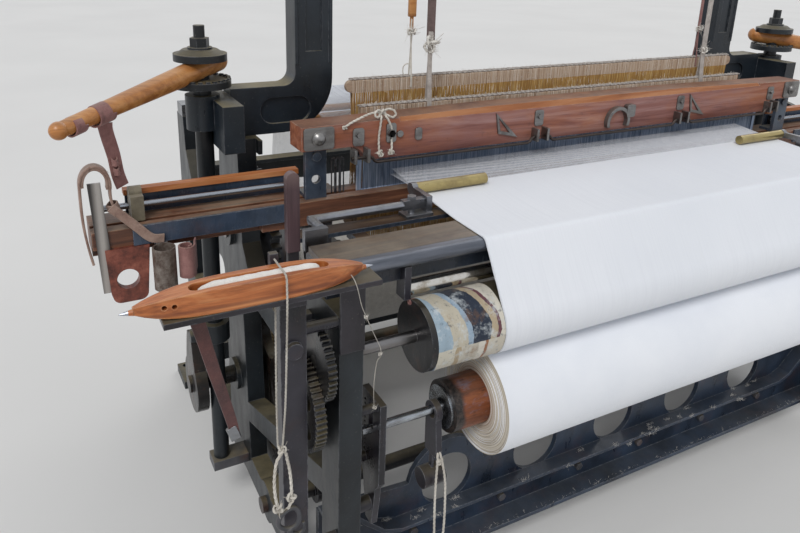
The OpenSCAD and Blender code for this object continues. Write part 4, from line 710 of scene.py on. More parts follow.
def box_finish():
    """Shuttle boxes: blue-black steel plates, an orange wooden strip and the picker's bright spindle."""
    f, colour, rough, height = iron_finish("box_plates", (26, 33, 43), (70, 84, 104), dust=0.3, wear=1.0,
        gloss=0.24, rust=0.2, move=7.0, done=False)
    strip = f.within((None, deep(387.9), 0.8729), (None, deep(408.2), 0.8832))
    rod = f.within((None, deep(371.6), 0.8506), (None, deep(384.4), 0.8634))
    wood = f.grain(60, 6, 0.65, size=(0.06, 1, 1), warp=1.0)
    colour = f.mix(strip, colour, f.stops(wood, (0.3, "#7c4626"), (0.52, "#b06a3a"), (0.74, "#ca8e5e")))
    colour = f.mix(rod, colour, "#9ca0a6")
    rough = f.mix(strip, rough, 0.5)
    return f.close(colour, f.mix(rod, rough, 0.24), height, 0.3, 0.001, metal=rod, soft_edge=0.0012)


def end_iron_finish():
    """Irons at the slay's ends: steel stays and brackets, a red eyed casting, a grey cup, a flat spring."""
    f, colour, rough, height = iron_finish("slay_irons", (42, 50, 62), (94, 106, 122), dust=0.35, wear=1.0,
        gloss=0.28, rust=0.35, move=9.0, done=False)
    front, back = deep(313.9), deep(330.1)
    red = f.within((-1.1005, front, 0.699), (-1.0259, back, 0.8032))
    paint = f.stops(f.grain(38, 7, 0.7), (0.34, "#42221c"), (0.52, "#7c4234"), (0.7, "#a0604e"))
    colour = f.mix(red, colour, paint)
    cup = f.within((-1.0265, None, 0.7235), (-0.9855, front, 0.8033))
    rusty = f.stops(f.grain(55, 6, 0.7), (0.36, "#46342a"), (0.6, "#7a7068"), (0.75, "#969492"))
    colour = f.mix(cup, colour, rusty)
    spring = f.within((-1.118, deep(317.9), 0.7215), (-1.0855, deep(322.1), 0.926))
    middle = f.spread(f.size_of(f.plus(f.x, 1.1015)), 0.002, 0.011, 1, 0)
    colour = f.mix(spring, colour, f.mix(middle, "#3a3634", "#a8a29c"))
    return f.close(colour, rough, height, 0.4, 0.0012, soft_edge=0.0018)


def handle_finish():
    """Starting handle: dark purple-brown wooden grip on a black iron lever."""
    f, colour, rough, height = iron_finish("handle_iron", (24, 21, 24), (52, 47, 52), dust=0.3, gloss=0.35,
        move=2.0, done=False)
    grip = f.above(f.z, 0.8635)
    wood = f.stops(f.grain(70, 6, 0.65, size=(1, 1, 0.05)), (0.3, "#38282a"), (0.55, "#544044"),
        (0.75, "#705a5c"))
    worn = f.spread(f.z, 0.965, 0.992, 0, 0.5)
    wood = f.mix(worn, wood, "#86706c")
    return f.close(f.mix(grip, colour, wood), f.mix(grip, rough, 0.42), height, 0.3, 0.0008, soft_edge=0.0015)


def bracket_finish():
    """Roller brackets: purple-black plates with a polished tube above the take-up roller."""
    f, colour, rough, height = iron_finish("bracket_iron", (23, 22, 26), (54, 52, 60), dust=0.35, wear=0.9,
        gloss=0.28, rust=0.1, move=6.0, done=False)
    r = f.from_axis(*TUBE)[2]
    tube = f.times(f.below(r, 0.0134), f.below(f.size_of(f.x), 0.6712))
    stain = f.spread(f.grain(30, 7, 0.72), 0.5, 0.7)
    colour = f.mix(tube, colour, f.mix(stain, "#cecac2", "#968a78"))
    rough = f.mix(tube, rough, f.mix(stain, 0.14, 0.3))
    return f.close(colour, rough, height, 0.3, 0.0008, metal=tube, soft_edge=0.0016)


def breast_finish():
    """Breast beam: rubbed grey strip along the front whose pale tone is partly a painted highlight, brown
    varnished and dusty plates behind it.
    """
    f, colour, rough, height = iron_finish("beam_iron", (22, 26, 32), (54, 62, 74), dust=0.2, wear=1.0,
        gloss=0.24, rust=0.15, move=1.0, done=False)
    up = f.upward(0.6, 0.98)
    plate = f.times(up, f.within((None, deep(25), None), (None, None, None)))
    brown = f.stops(f.grain(30, 6, 0.66, size=(0.15, 1, 1)), (0.3, "#2c221c"), (0.52, "#4e3d2e"),
        (0.74, "#7a6242"))
    colour = f.mix(plate, colour, brown)
    nose = f.within((None, None, 0.824), (None, deep(24.5), None))
    # The nose's pale grey is rubbed iron and also a painted highlight along its rounded front.
    rubbed = f.stops(f.grain(80, 5, 0.6, size=(0.08, 1, 1)), (0.3, "#545860"), (0.7, "#80848e"))
    colour = f.mix(f.times(nose, 0.85), colour, rubbed)
    return f.close(colour, f.mix(nose, rough, 0.32), height, 0.3, 0.0008, metal=f.times(nose, 0.6),
        soft_edge=0.0018)


def warp_beam_finish():
    """Warp beam: dark iron flanges with dusty faces on a red-brown wooden barrel."""
    f, colour, rough, height = iron_finish("beam_flanges", (22, 24, 28), (48, 50, 57), dust=0.4, gloss=0.4,
        rust=0.3, move=14.0, done=False)
    r = f.from_axis(*WARP_BEAM)[2]
    wood = f.times(f.below(r, 0.0625), f.above(r, 0.05))
    grain = f.stops(f.grain(50, 6, 0.65, size=(0.07, 1, 1)), (0.3, "#5c3422"), (0.7, "#966240"))
    return f.close(f.mix(wood, colour, grain), rough, height, 0.35, 0.001, soft_edge=0.002)


def weight_finish():
    """Drag weights: rusty iron, with hemp rope round the ruffle."""
    f, colour, rough, height = iron_finish("weight_iron", (42, 38, 38), (82, 74, 68), dust=0.5, gloss=0.45,
        rust=0.6, move=16.0, done=False)
    x = f.size_of(f.x)
    rope = f.times(f.above(x, 0.6155), f.below(x, 0.6245), f.above(f.z, 0.083))
    strands = f.bands(60, "DIAGONAL", 1.0, 2)
    hemp = f.mix(strands, "#62523a", "#9c8a68")
    return f.close(f.mix(rope, colour, hemp), f.mix(rope, rough, 0.85),
        f.plus(height, f.times(strands, rope)), 0.4, 0.001)


def crank_finish():
    """Crankshaft: bright oiled journals, painted wheels and a greasy pinion."""
    f, colour, rough, height = iron_finish("crank_iron", (20, 22, 26), (52, 54, 60), dust=0.5, gloss=0.3,
        rust=0.25, move=18.0, done=False)
    r = f.from_axis(*CRANK)[2]
    shaft = f.below(r, 0.0204)
    oiled = f.mix(f.grain(40, 6, 0.7, size=(0.3, 1, 1)), "#8e8e92", "#544a3e")
    face = f.times(f.within((0.949, None, None), (0.999, None, None)), f.above(r, 0.1145))
    colour = f.mix(f.calc("MAXIMUM", shaft, face), colour, oiled)
    return f.close(colour, f.mix(shaft, rough, 0.3), height, 0.35, 0.001, metal=shaft, soft_edge=0.0018)


def make_finishes():
    """Every finish of the loom, by name."""
    return {
        "casting": iron_finish("dusty_casting", (15, 18, 21), (36, 42, 47), dust=0.62, gloss=0.34),
        "arch": iron_finish("arch_casting", (18, 24, 30), (38, 46, 54), dust=0.85, gloss=0.3,
            dust_tone=(112, 104, 80), move=3.0),
        "rail": iron_finish("worn_rail_paint", (22, 29, 40), (56, 70, 90), dust=0.3, wear=1.0, gloss=0.3,
            dust_tone=(88, 92, 98), rust=0.2, move=5.0),
        "machine": iron_finish("oily_casting", (16, 16, 19), (46, 44, 47), dust=0.5, gloss=0.3, rust=0.25,
            move=8.0),
        "post": iron_finish("bracket_paint", (26, 23, 27), (58, 54, 60), dust=0.4, gloss=0.32, move=11.0),
        "gears": iron_finish("greasy_gears", (15, 14, 15), (44, 38, 34), dust=0.4, gloss=0.26, rust=0.35,
            move=13.0),
        "fastener": iron_finish("bolt_heads", (54, 54, 58), (104, 104, 108), dust=0.5, gloss=0.4, rust=0.4),
        "plate_steel": bright_finish("cap_plates", (142, 140, 138), (66, 56, 50), 0.34, 0.85, 0.3),
        "wire": bright_finish("guard_wire", (84, 76, 72), (36, 28, 25), 0.34, 0.8, 0.1),
        "temple_brass": bright_finish("temple_brass", (186, 168, 116), (96, 78, 52), 0.3, 0.6, 0.35,
            scale=40),
        "temple_steel": bright_finish("temple_steel", (150, 152, 158), (70, 62, 56), 0.3, 0.6, 0.35),
        "rod_steel": bright_finish("shaft_steel", (150, 152, 156), (84, 72, 58), 0.28, 0.5, 0.3),
        "reed": reed_finish(),
        "race": timber_finish("race_timber", (58, 36, 28), (104, 66, 48), (144, 98, 72), gloss=0.45, dust=0.4,
            rubbed=(176, 132, 102)),
        "board": timber_finish("breast_board", (40, 31, 25), (70, 54, 40), (98, 76, 52), gloss=0.3, dust=0.3,
            coat=0.3),
        "stick": timber_finish("picking_stick_timber", (150, 92, 44), (186, 124, 66), (208, 152, 92),
            gloss=0.36, dust=0.2, coat=0.25),
        "stave": timber_finish("stave_timber", (150, 124, 104), (180, 156, 134), (200, 182, 160), gloss=0.7,
            dust=0.5, coat=0.0),
        "rods": timber_finish("lease_rods", (120, 82, 50), (158, 112, 70), (180, 138, 92), dust=0.4),
        "roller": roller_finish(),
        "leather": leather_finish("picking_leather", (112, 70, 68), (166, 122, 116)),
        "buffer": leather_finish("buffer_leather", (122, 92, 80), (176, 150, 136), fibre=0.6, dust=0.5),
        "strap": leather_finish("hanging_leather", (58, 36, 38), (104, 66, 62), fibre=0.15, gloss=0.5),
        "hide": leather_finish("picker_hide", (96, 88, 74), (142, 134, 112), gloss=0.5, fibre=0.1),
        "band": leather_finish("heald_strap", (74, 58, 56), (116, 96, 92), fibre=0.25),
        "warp": thread_finish("warp_yarn", (216, 218, 224), (238, 240, 244), sheen=0.1),
        "tape": thread_finish("heald_tape", (158, 150, 144), (198, 190, 182)),
        "lint": thread_finish("mill_lint", (214, 208, 198), (240, 236, 228), sheen=0.5),
        "cop": thread_finish("cop_yarn", (222, 216, 208), (246, 242, 236), sheen=0.3),
        "beam_yarn": thread_finish("wound_warp", (204, 200, 192), (230, 226, 218)),
        "string": string_finish("thin_twine", (214, 208, 196), (166, 158, 146)),
        "bow": string_finish("soft_white_string", (236, 230, 218), (198, 190, 178)),
        "cloth": cloth_finish("woven_cotton"),
        "wound": wound_finish("wound_cotton", 0.047),
        "cord": heald_finish(),
        "cap": cap_finish(),
        "shuttle": shuttle_finish(),
        "cover": cover_finish(),
        "take_up": take_up_finish(),
        "boxes": box_finish(),
        "irons": end_iron_finish(),
        "handle": handle_finish(),
        "brackets": bracket_finish(),
        "beam": breast_finish(),
        "warp_beam": warp_beam_finish(),
        "weights": weight_finish(),
        "crank": crank_finish(),
    }


NODES_OF_FINISH = {
    "casting": "frame_left frame_right back_rail picking_shaft_left picking_shaft_right",
    "arch": "top_arch",
    "rail": "front_rail",
    "rod_steel": "back_rest",
    "beam": "breast_beam",
    "board": "breast_board",
    "temple_steel": "temple_arms",
    "temple_brass": "temple_roller_left temple_roller_right",
    "brackets": "roller_brackets",
    "post": "shuttle_rest",
    "shuttle": "shuttle",
    "cop": "shuttle_cop",
    "handle": "starting_handle",
    "fastener": "frame_bolts",
    "rods": "lease_rods",
    "take_up": "take_up_roller",
    "gears": "take_up_carrier ratchet_wheel tappet_shaft",
    "roller": "cloth_roller",
    "machine": "slay_swords loose_pulley crank_arm_left crank_arm_right treadle_front treadle_back",
    "race": "race_board",
    "cap": "slay_cap",
    "plate_steel": "cap_fittings",
    "boxes": "shuttle_boxes",
    "irons": "slay_end_irons",
    "wire": "shuttle_guard",
    "hide": "picker_left picker_right",
    "crank": "crankshaft",
    "stave": "heald_staves_front heald_staves_back",
    "stick": "top_roller picking_stick_left picking_stick_right",
    "warp_beam": "warp_beam",
    "beam_yarn": "beam_yarn",
    "weights": "beam_weights",
}
finishes = {}


# ---------------------------------------------------------------- settings


def length(name, description, default, low, high):
    """A setting that is a length in metres."""
    return bpy.props.FloatProperty(name=name, description=description, default=default, min=low, max=high,
        unit="LENGTH", subtype="DISTANCE")


class LoomSettings(bpy.types.PropertyGroup):
    """Sizes and counts that change the look of the loom's soft pieces."""

    end_pitch: length("Warp end pitch", "Distance between two neighbouring warp ends", 0.0014, 0.001, 0.006)
    end_radius: length("Warp end radius", "Radius of one warp end", 0.00043, 0.0001, 0.001)
    heald_pitch: length("Heald pitch", "Distance between two heald loops on one stave", 0.0026, 0.002, 0.01)
    wire_pitch: length("Reed wire pitch", "Distance between two wires of the reed", 0.002, 0.001, 0.01)
    cloth_thickness: length("Cloth thickness", "Thickness of the woven cloth", 0.0008, 0.0003, 0.002)
    roll_layers: bpy.props.IntProperty(name="Layers on the cloth roll",
        description="Layers that show on the roll's ends", default=30, min=6, max=60)
    lint_tufts: bpy.props.IntProperty(name="Lint tufts", description="Tufts of lint lying on the front rail",
        default=34, min=0, max=200)
    floor_colour: bpy.props.FloatVectorProperty(name="Floor colour", description="Colour of the studio floor",
        subtype="COLOR", size=3, default=(0.74, 0.73, 0.71), min=0, max=1)


def warp_height(y):
    """Height of the warp line at a depth of the drawing, in millimetres."""
    return FELL_Z + WARP_RISE * (y - FELL_Y) / (BACK_REST[0] - FELL_Y)


def on_circle(axis, radius, degrees):
    """A point on a circle round an axis of the drawing, as y and z."""
    a = math.radians(degrees)
    return axis[0] + radius * math.cos(a), axis[1] + radius * math.sin(a)


def round_once(count):
    """Angles once round a circle, without the last one that closes it."""
    return np.linspace(0, 2 * math.pi, count + 1)[:-1]


# ---------------------------------------------------------------- pieces that several operators make


def hairs(roots, reach, radius, seed, rise=0.3):
    """Loose fibres: short curled threads from the given roots."""
    rng = np.random.default_rng(seed)
    lines = []
    for root in roots:
        way = rng.normal(0, 1, 3) * (1.0, 1.0, 0.8)
        way[2] += rise
        way /= np.linalg.norm(way) + 1e-6
        bend = rng.normal(0, 0.55, 3)
        far = reach * rng.uniform(0.4, 1.15)
        t = np.linspace(0, 1, 5)[:, None]
        lines.append(np.array(root) + way * far * t + bend * far * t * t * 0.6)
    return cut_out(*prisms(lines, radius))


def knot(name, spot, size, radius, body, finish, seed):
    """An overhand knot in soft string at a place of the drawing, with its frayed ends."""
    t = round_once(56)
    turn = np.random.default_rng(seed).uniform(0, 6, 3)
    line = np.stack([np.sin(t) + 2 * np.sin(2 * t), np.cos(t) - 2 * np.cos(2 * t), -1.5 * np.sin(3 * t)], 1)
    spin = np.array(Matrix.Rotation(turn[0], 3, "X") @ Matrix.Rotation(turn[1], 3, "Z"))
    path = line @ spin.T * size * 0.6 + np.array(mm(*spot))
    parts = [
        laid(path, plied(radius, 2, 8), twist=300, ring=True),
        hairs([mm(*spot)] * 9, size * 3.6, radius * 0.22, seed)]
    return settle(fuse(parts), name, body, finish, smooth=60)


def bevelled_bar(low, high, bevel):
    """A bar between two corners of the drawing, with its edges bevelled."""
    low, high = mm(*low), mm(*high)
    alone()
    bpy.ops.mesh.primitive_cube_add(size=1, location=(low + high) / 2)
    bar = bpy.context.object
    bar.scale = high - low
    bpy.ops.object.transform_apply(location=False, rotation=False, scale=True)
    bpy.ops.object.mode_set(mode="EDIT")
    bpy.ops.mesh.select_all(action="SELECT")
    bpy.ops.mesh.bevel(offset=bevel, segments=2, affect="EDGES")
    bpy.ops.object.mode_set(mode="OBJECT")
    bpy.ops.object.transform_apply(location=True, rotation=True, scale=True)
    return bar


# ---------------------------------------------------------------- operators


class LOOM_OT_stage(bpy.types.Operator):
    """Floor, lamps and the camera"""

    bl_idname = "loom.stage"
    bl_label = "Studio Stage"

    def execute(self, context):
        self.camera(context)
        bpy.ops.mesh.primitive_grid_add(x_subdivisions=24, y_subdivisions=24, size=60)
        floor = context.object
        floor.name = "studio_floor"
        floor.data.materials.append(self.floor_finish(context.scene.loom.floor_colour))
        for name, turn, power, width in (
                ("key_lamp", (40, -12, -30), 1.5, 24),
                ("fill_lamp", (52, 10, 118), 0.45, 40)):
            bpy.ops.object.light_add(type="SUN", rotation=[math.radians(a) for a in turn])
            lamp = context.object
            lamp.name = name
            lamp.data.energy = power
            lamp.data.angle = math.radians(width)
        self.sky(context)
        context.scene.view_settings.view_transform = "Standard"
        return {"FINISHED"}

    def camera(self, context):
        """The photograph's camera."""
        alone()
        bpy.ops.object.camera_add()
        camera = context.object
        camera.name = "camera"
        yaw, pitch, roll = (math.radians(a) for a in CAMERA_TURN)
        right = Vector((math.cos(yaw), -math.sin(yaw), 0))
        ahead = Vector((math.sin(yaw) * math.cos(pitch), math.cos(yaw) * math.cos(pitch), -math.sin(pitch)))
        up = right.cross(ahead)
        across = right * math.cos(roll) + up * math.sin(roll)
        above = up * math.cos(roll) - right * math.sin(roll)
        place = Matrix((across, above, -ahead)).transposed().to_4x4()
        place.translation = mm(*CAMERA_PLACE)
        camera.matrix_world = place
        camera.data.sensor_width = CAMERA_SENSOR
        camera.data.lens = CAMERA_LENS
        camera.data.shift_x, camera.data.shift_y = CAMERA_SHIFT
        camera.data.clip_start = 0.05
        camera.data.clip_end = 200
        context.scene.camera = camera

    def sky(self, context):
        """Soft light all round, brighter where it is seen directly or in a reflection."""
        world = bpy.data.worlds.new("studio")
        context.scene.world = world
        world.use_nodes = True
        nodes, links = world.node_tree.nodes, world.node_tree.links
        back = nodes["Background"]
        back.inputs["Color"].default_value = (0.92, 0.95, 1.0, 1)
        rays = nodes.new("ShaderNodeLightPath").outputs
        seen = rays["Is Camera Ray"]
        for ray in ("Is Glossy Ray", "Is Transmission Ray"):
            either = nodes.new("ShaderNodeMath")
            either.operation = "MAXIMUM"
            links.new(seen, either.inputs[0])
            links.new(rays[ray], either.inputs[1])
            seen = either.outputs[0]
        level = nodes.new("ShaderNodeMapRange")
        level.inputs["To Min"].default_value = 0.5
        level.inputs["To Max"].default_value = 0.86
        links.new(seen, level.inputs["Value"])
        links.new(level.outputs[0], back.inputs["Strength"])

    def floor_finish(self, colour):
        """Plain pale floor, a little uneven in tone."""
        f = Finish("studio_floor", specular=0.2)
        pale = (*colour, 1.0)
        soft = (*(0.96 * c for c in colour), 1.0)
        return f.close(f.mix(f.spread(f.grain(0.7, 4, 0.5), 0.35, 0.65), pale, soft), 0.8)


class LOOM_OT_strings(bpy.types.Operator):
    """The thin strings that hang at the loom's left end, with their knots"""

    bl_idname = "loom.strings"
    bl_label = "Strings"

    # Name, radius, finish, CAD node it stands for, far end, steps, knots and route. A knot is a name, place,
    # size, radius and seed.
    rows = (
        (
            "weft_tail", 0.0007, "string", None, "knot", 12,
            (
                ("tail_knot_1", (-791, -76, 806), 0.0018, 0.0008, 60),
                ("tail_knot_2", (-755, -54, 722), 0.0018, 0.0008, 61),
                ("tail_knot_3", (-753, -34, 612), 0.0018, 0.0008, 62)),
            ((-815, -74.5, 877), (-813.5, -81, 873), (-812, -86, 866), (-809, -86.6, 855), (-801, -81, 829),
                (-791, -76, 806), (-773, -66, 768), (-756, -56, 733), (-754, -52, 716), (-758, -49, 706),
                (-760.5, -46, 671), (-758, -41, 636), (-753, -34, 612))),
        (
            "thin_string", 0.0016, "string", "loop_string", "object", 12,
            (("loop_knot", (-918, -64, 611), 0.0034, 0.002, 3),),
            ((-914, -34, 904), (-914, -41, 904.4), (-914, -62, 903.2), (-914, -80, 902.6), (-914, -85.6, 901),
                (-914, -88.6, 896), (-914, -89, 884), (-914, -89, 860), (-914.4, -85, 800), (-915, -76, 700),
                (-916, -67, 640), (-916.4, -64, 622), (-917.4, -62, 613), (-919.6, -61, 609.6),
                (-921.8, -60, 613), (-922.8, -60, 622), (-923, -60, 640), (-923, -60, 700), (-922, -60, 780),
                (-921.4, -60.6, 840), (-921.4, -61, 856.6))),
        (
            "string_eye", 0.0026, "bow", None, "object", 16,
            (
                ("eye_knot_a", (-925, -63, 506), 0.0042, 0.0022, 5),
                ("eye_knot_b", (-905, -63, 518), 0.0042, 0.0022, 8)),
            ((-919, -66, 606), (-927, -65, 592), (-930.5, -63, 556), (-928, -62, 520), (-921, -61, 500.5),
                (-912, -61, 497), (-904.5, -61, 509), (-904, -62, 540), (-907, -64, 572), (-911.5, -67, 595),
                (-913, -69, 606))),
        (
            "yarn_loop", 0.0024, "bow", "hook_string", "object", 16,
            (("hook_knot", (-618, -28, 452), 0.0026, 0.0016, 12),),
            ((-620, -14, 474), (-621, -24, 466), (-623, -28, 446), (-624, -28, 400), (-622, -27, 330),
                (-618, -26, 255), (-614, -25, 208), (-610, -24, 198), (-606, -25, 208), (-602, -26, 255),
                (-601, -28, 320), (-604, -28, 400), (-612, -28, 446), (-616, -24, 466), (-617, -14, 474))))

    def execute(self, context):
        for name, radius, finish, node, far_end, steps, knots, route in self.rows:
            tied = [knot(label, spot, size, thick, "frame", "bow", seed)
                for label, spot, size, thick, seed in knots]
            path = even(curve(route, steps), radius * 0.8)
            piece = laid(path, plied(radius), twist=0.55 / radius)
            settle(piece, name, "frame", finish, smooth=60)
            if node:
                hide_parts(node)
        return {"FINISHED"}


class LOOM_OT_warp(bpy.types.Operator):
    """The warp: every end from the fell through reed, healds and lease rods to the beam"""

    bl_idname = "loom.warp"
    bl_label = "Warp Ends"

    def execute(self, context):
        settings = context.scene.loom
        pitch = settings.end_pitch
        rng = np.random.default_rng(4)
        lines = []
        for i in range(int(2 * WARP_HALF / pitch) + 1):
            x = -WARP_HALF + i * pitch + rng.normal(0, pitch * 0.09)
            path = in_mm([(0, y, z) for y, z in self.end_path(i % 2)])
            path[:, 0] = x
            path[1:-1, 0] += rng.normal(0, pitch * 0.12, len(path) - 2)
            lines.append(path)
        piece = settle(cut_out(*prisms(lines, settings.end_radius, start=0.5)), "warp_ends", "frame", "warp",
            smooth=0)
        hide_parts("warp_sheet")
        self.fluff(rng)
        return {"FINISHED"}

    def end_path(self, back):
        """One end's line, through the front or the back heald."""
        eye, lift = (BACK_HEALD, 13) if back else (FRONT_HEALD, -8)
        line = [
            (243.5, 860.9),
            (REED_Y, warp_height(REED_Y) + lift * (REED_Y - FELL_Y) / (eye - FELL_Y)),
            (eye, warp_height(eye) + lift),
            (560, warp_height(560) + 0.5)]
        for k, y in enumerate(LEASE_RODS):
            rod = warp_height(y) - 6 + 10.6
            over = (k + back) % 2 == 0
            line.append((y, rod + 9.5 if over else rod - 9.5))
        line.append((950, warp_height(950) - 1.5))
        line += [on_circle(BACK_REST, 38.9, a) for a in (84, 62, 44, 26, 10.1)]
        line.append(on_circle(WARP_BEAM, 190.9, 10.1))
        return line

    def fluff(self, rng):
        """Fluff that the healds have rubbed off the ends, lying on the sheet behind the reed."""
        roots = [mm(rng.uniform(-520, 520), y, warp_height(y) + 1) for y in rng.uniform(470, 700, 160)]
        settle(hairs(roots, 0.009, 0.00022, 21, rise=0.1), "warp_fluff", "frame", "lint", smooth=0)


class LOOM_OT_cloth(bpy.types.Operator):
    """The woven cloth over the breast beam and round the take-up roller"""

    bl_idname = "loom.cloth"
    bl_label = "Cloth"

    def execute(self, context):
        path = self.line()
        along = np.concatenate([[0], np.cumsum(np.linalg.norm(np.diff(path, axis=0), axis=1))])
        columns = np.linspace(-CLOTH_HALF, CLOTH_HALF, 181)
        ahead = np.gradient(path, axis=0)
        ahead /= np.linalg.norm(ahead, axis=1)[:, None]
        out = np.stack([-ahead[:, 1], ahead[:, 0]], 1) * -1
        # The cloth ripples only where it hangs free: before the beam and between beam and roller
        free = np.exp(-((along - 75) / 46) ** 2) + 0.8 * np.exp(-((along - 315) / 40) ** 2)
        verts, uv = [], []
        for i, (y, z) in enumerate(path):
            for x in columns:
                edge = math.exp(-((CLOTH_HALF - abs(x)) / 26.0))
                wave = 0.34 * math.sin(x / 39 + 0.8 * math.sin(along[i] / 40)) + 0.22 * math.sin(x / 17.0
                    + along[i] / 60)
                lift = free[i] * (wave * 0.9 + 0.7 * edge * math.sin(along[i] / 7.0))
                verts.append(mm(x, y + out[i][0] * lift, z + out[i][1] * lift))
                uv.append((x / 1000, along[i] / 1000))
        n, m = len(path), len(columns)
        faces = [(i * m + j, i * m + j + 1, (i + 1) * m + j + 1, (i + 1) * m + j) for i in range(n - 1)
            for j in range(m - 1)]
        piece = cut_out(verts, faces, uv)
        shell = piece.modifiers.new("thickness", "SOLIDIFY")
        shell.thickness = context.scene.loom.cloth_thickness
        shell.offset = 0
        alone(piece)
        bpy.ops.object.modifier_apply(modifier="thickness")
        settle(piece, "woven_cloth", "frame", "cloth", smooth=50)
        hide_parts("cloth")
        edges = self.selvedges(path, out)
        return {"FINISHED"}

    def line(self):
        """The cloth's middle line, as y and z in millimetres, from the fell to the nip."""
        line = [(243, 861), (220, 859.4), (196, 857.8), (170, 856), (146, 854.4), (120, 852.7), (96, 851.2),
            (70, 851.15), (44, 851.15), (24, 851.15)]
        line += [on_circle(BREAST_NOSE, NOSE_RADIUS, a) for a in np.linspace(90, LAP_START, 9)]
        a = np.array(on_circle(BREAST_NOSE, NOSE_RADIUS, LAP_START))
        b = np.array(on_circle(TAKE_UP, LAP_RADIUS, LAP_START))
        line += [tuple(a + (b - a) * t) for t in np.linspace(0.12, 0.9, 9)]
        line += [on_circle(TAKE_UP, LAP_RADIUS, a) for a in np.linspace(LAP_START, LAP_END, 34)]
        return np.array(line)

    def selvedges(self, path, out):
        """The doubled ends along both edges of the cloth."""
        made = []
        for side, x in (("left", -532.2), ("right", 532.2)):
            lines = []
            for k in range(3):
                off = 0.75 + 0.12 * math.sin(k * 2.1)
                lines.append(in_mm([(x + (k - 1) * 0.9, y + o[0] * off, z + o[1] * off)
                    for (y, z), o in zip(path, out)]))
            made.append(settle(cut_out(*prisms(lines, 0.00042, sides=4)), "selvedge_" + side, "frame", "warp",
                smooth=0))
        return made


class LOOM_OT_cloth_roll(bpy.types.Operator):
    """The cloth wound on the cloth roller"""

    bl_idname = "loom.cloth_roll"
    bl_label = "Cloth Roll"

    def execute(self, context):
        layers = context.scene.loom.roll_layers
        edges = np.linspace(0.0474, 0.1036, layers + 1)
        steps = np.random.default_rng(9).uniform(0.0, 0.0026, layers) * (0.5 + np.linspace(0, 1, layers))
        end = []
        for k in range(layers):
            x = 0.5328 - steps[k]
            end += [(x, edges[k] + 0.00015), (x + 0.0004, edges[k] + 0.0007), (x, edges[k + 1] - 0.00015)]
        outside = [(-0.52, 0.1038), (-0.3, 0.1037), (0, 0.1039), (0.3, 0.1037), (0.52, 0.1038)]
        profile = [(-x, r) for x, r in end] + outside + end[::-1]
        profile.append(profile[0])
        piece = settle(turned(profile, CLOTH_ROLLER, 120), "wound_cloth", "cloth_wind", "wound",
            smooth=30)
        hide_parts("cloth_roll")
        return {"FINISHED"}


class LOOM_OT_roller_cover(bpy.types.Operator):
    """The patched cloth covering on both bare ends of the take-up roller"""

    bl_idname = "loom.roller_cover"
    bl_label = "Roller Cover"

    def execute(self, context):
        y, z = deep(TAKE_UP[0]), TAKE_UP[1] / 1000
        inner, outer, under = 0.5335, 0.6615, 0.06015
        rng = np.random.default_rng(31)
        for side, s in SIDES:
            rim = [(s * x, 0.0606 + 0.00035 * math.sin(x * 310) + rng.normal(0, 0.00006))
                for x in np.linspace(inner, outer, 40)]
            profile = [(s * inner, under)] + rim + [(s * outer, under), (s * inner, under)]
            piece = turned(profile, TAKE_UP, 110)
            for vertex in piece.data.vertices:
                dy, dz = vertex.co.y - y, vertex.co.z - z
                r = math.hypot(dy, dz)
                if r > 0.0604:
                    a = math.atan2(dz, dy)
                    lap = 0.0004 * (math.sin(3 * a + 20 * vertex.co.x) > 0.55) + 0.0002 * math.sin(9 * a)
                    vertex.co.y, vertex.co.z = y + dy * (r + lap) / r, z + dz * (r + lap) / r
            settle(piece, "roller_cover_" + side, "take_up", "cover", smooth=50)
        return {"FINISHED"}


class LOOM_OT_reed(bpy.types.Operator):
    """The reed: fine wires between two baulks"""

    bl_idname = "loom.reed"
    bl_label = "Reed"

    def execute(self, context):
        pitch = context.scene.loom.wire_pitch
        alone()
        bpy.ops.mesh.primitive_cube_add(size=1, location=mm(0, REED_Y, 870))
        wire = context.object
        wire.scale = (0.0006, 0.0046, 0.1)
        bpy.ops.object.transform_apply(location=True, rotation=True, scale=True)
        shape = np.array([v.co for v in wire.data.vertices])
        faces = [tuple(p.vertices) for p in wire.data.polygons]
        bpy.data.objects.remove(wire)
        rng = np.random.default_rng(2)
        count = int(0.598 / pitch)
        verts, rows = [], []
        for i in range(-count, count + 1):
            base = len(verts) * len(shape)
            copy = shape.copy()
            copy[:, 0] += i * pitch + rng.normal(0, 0.00006)
            verts.append(copy)
            rows += [tuple(base + k for k in f) for f in faces]
        parts = [cut_out(np.concatenate(verts), rows)]
        front, rear, low, high, end = 348.1, 353.9, 819.4, 919.6, 611.6
        for z0, z1 in ((low, 836.5), (908, high)):
            parts.append(bevelled_bar((-end, front, z0), (end, rear, z1), 0.0012))
        for a, b in ((-end, -601), (601, end)):
            parts.append(bevelled_bar((a, front, low), (b, rear, high), 0.001))
        piece = settle(fuse(parts), "reed_wires", "slay", "reed", smooth=20)
        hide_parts("reed")
        return {"FINISHED"}


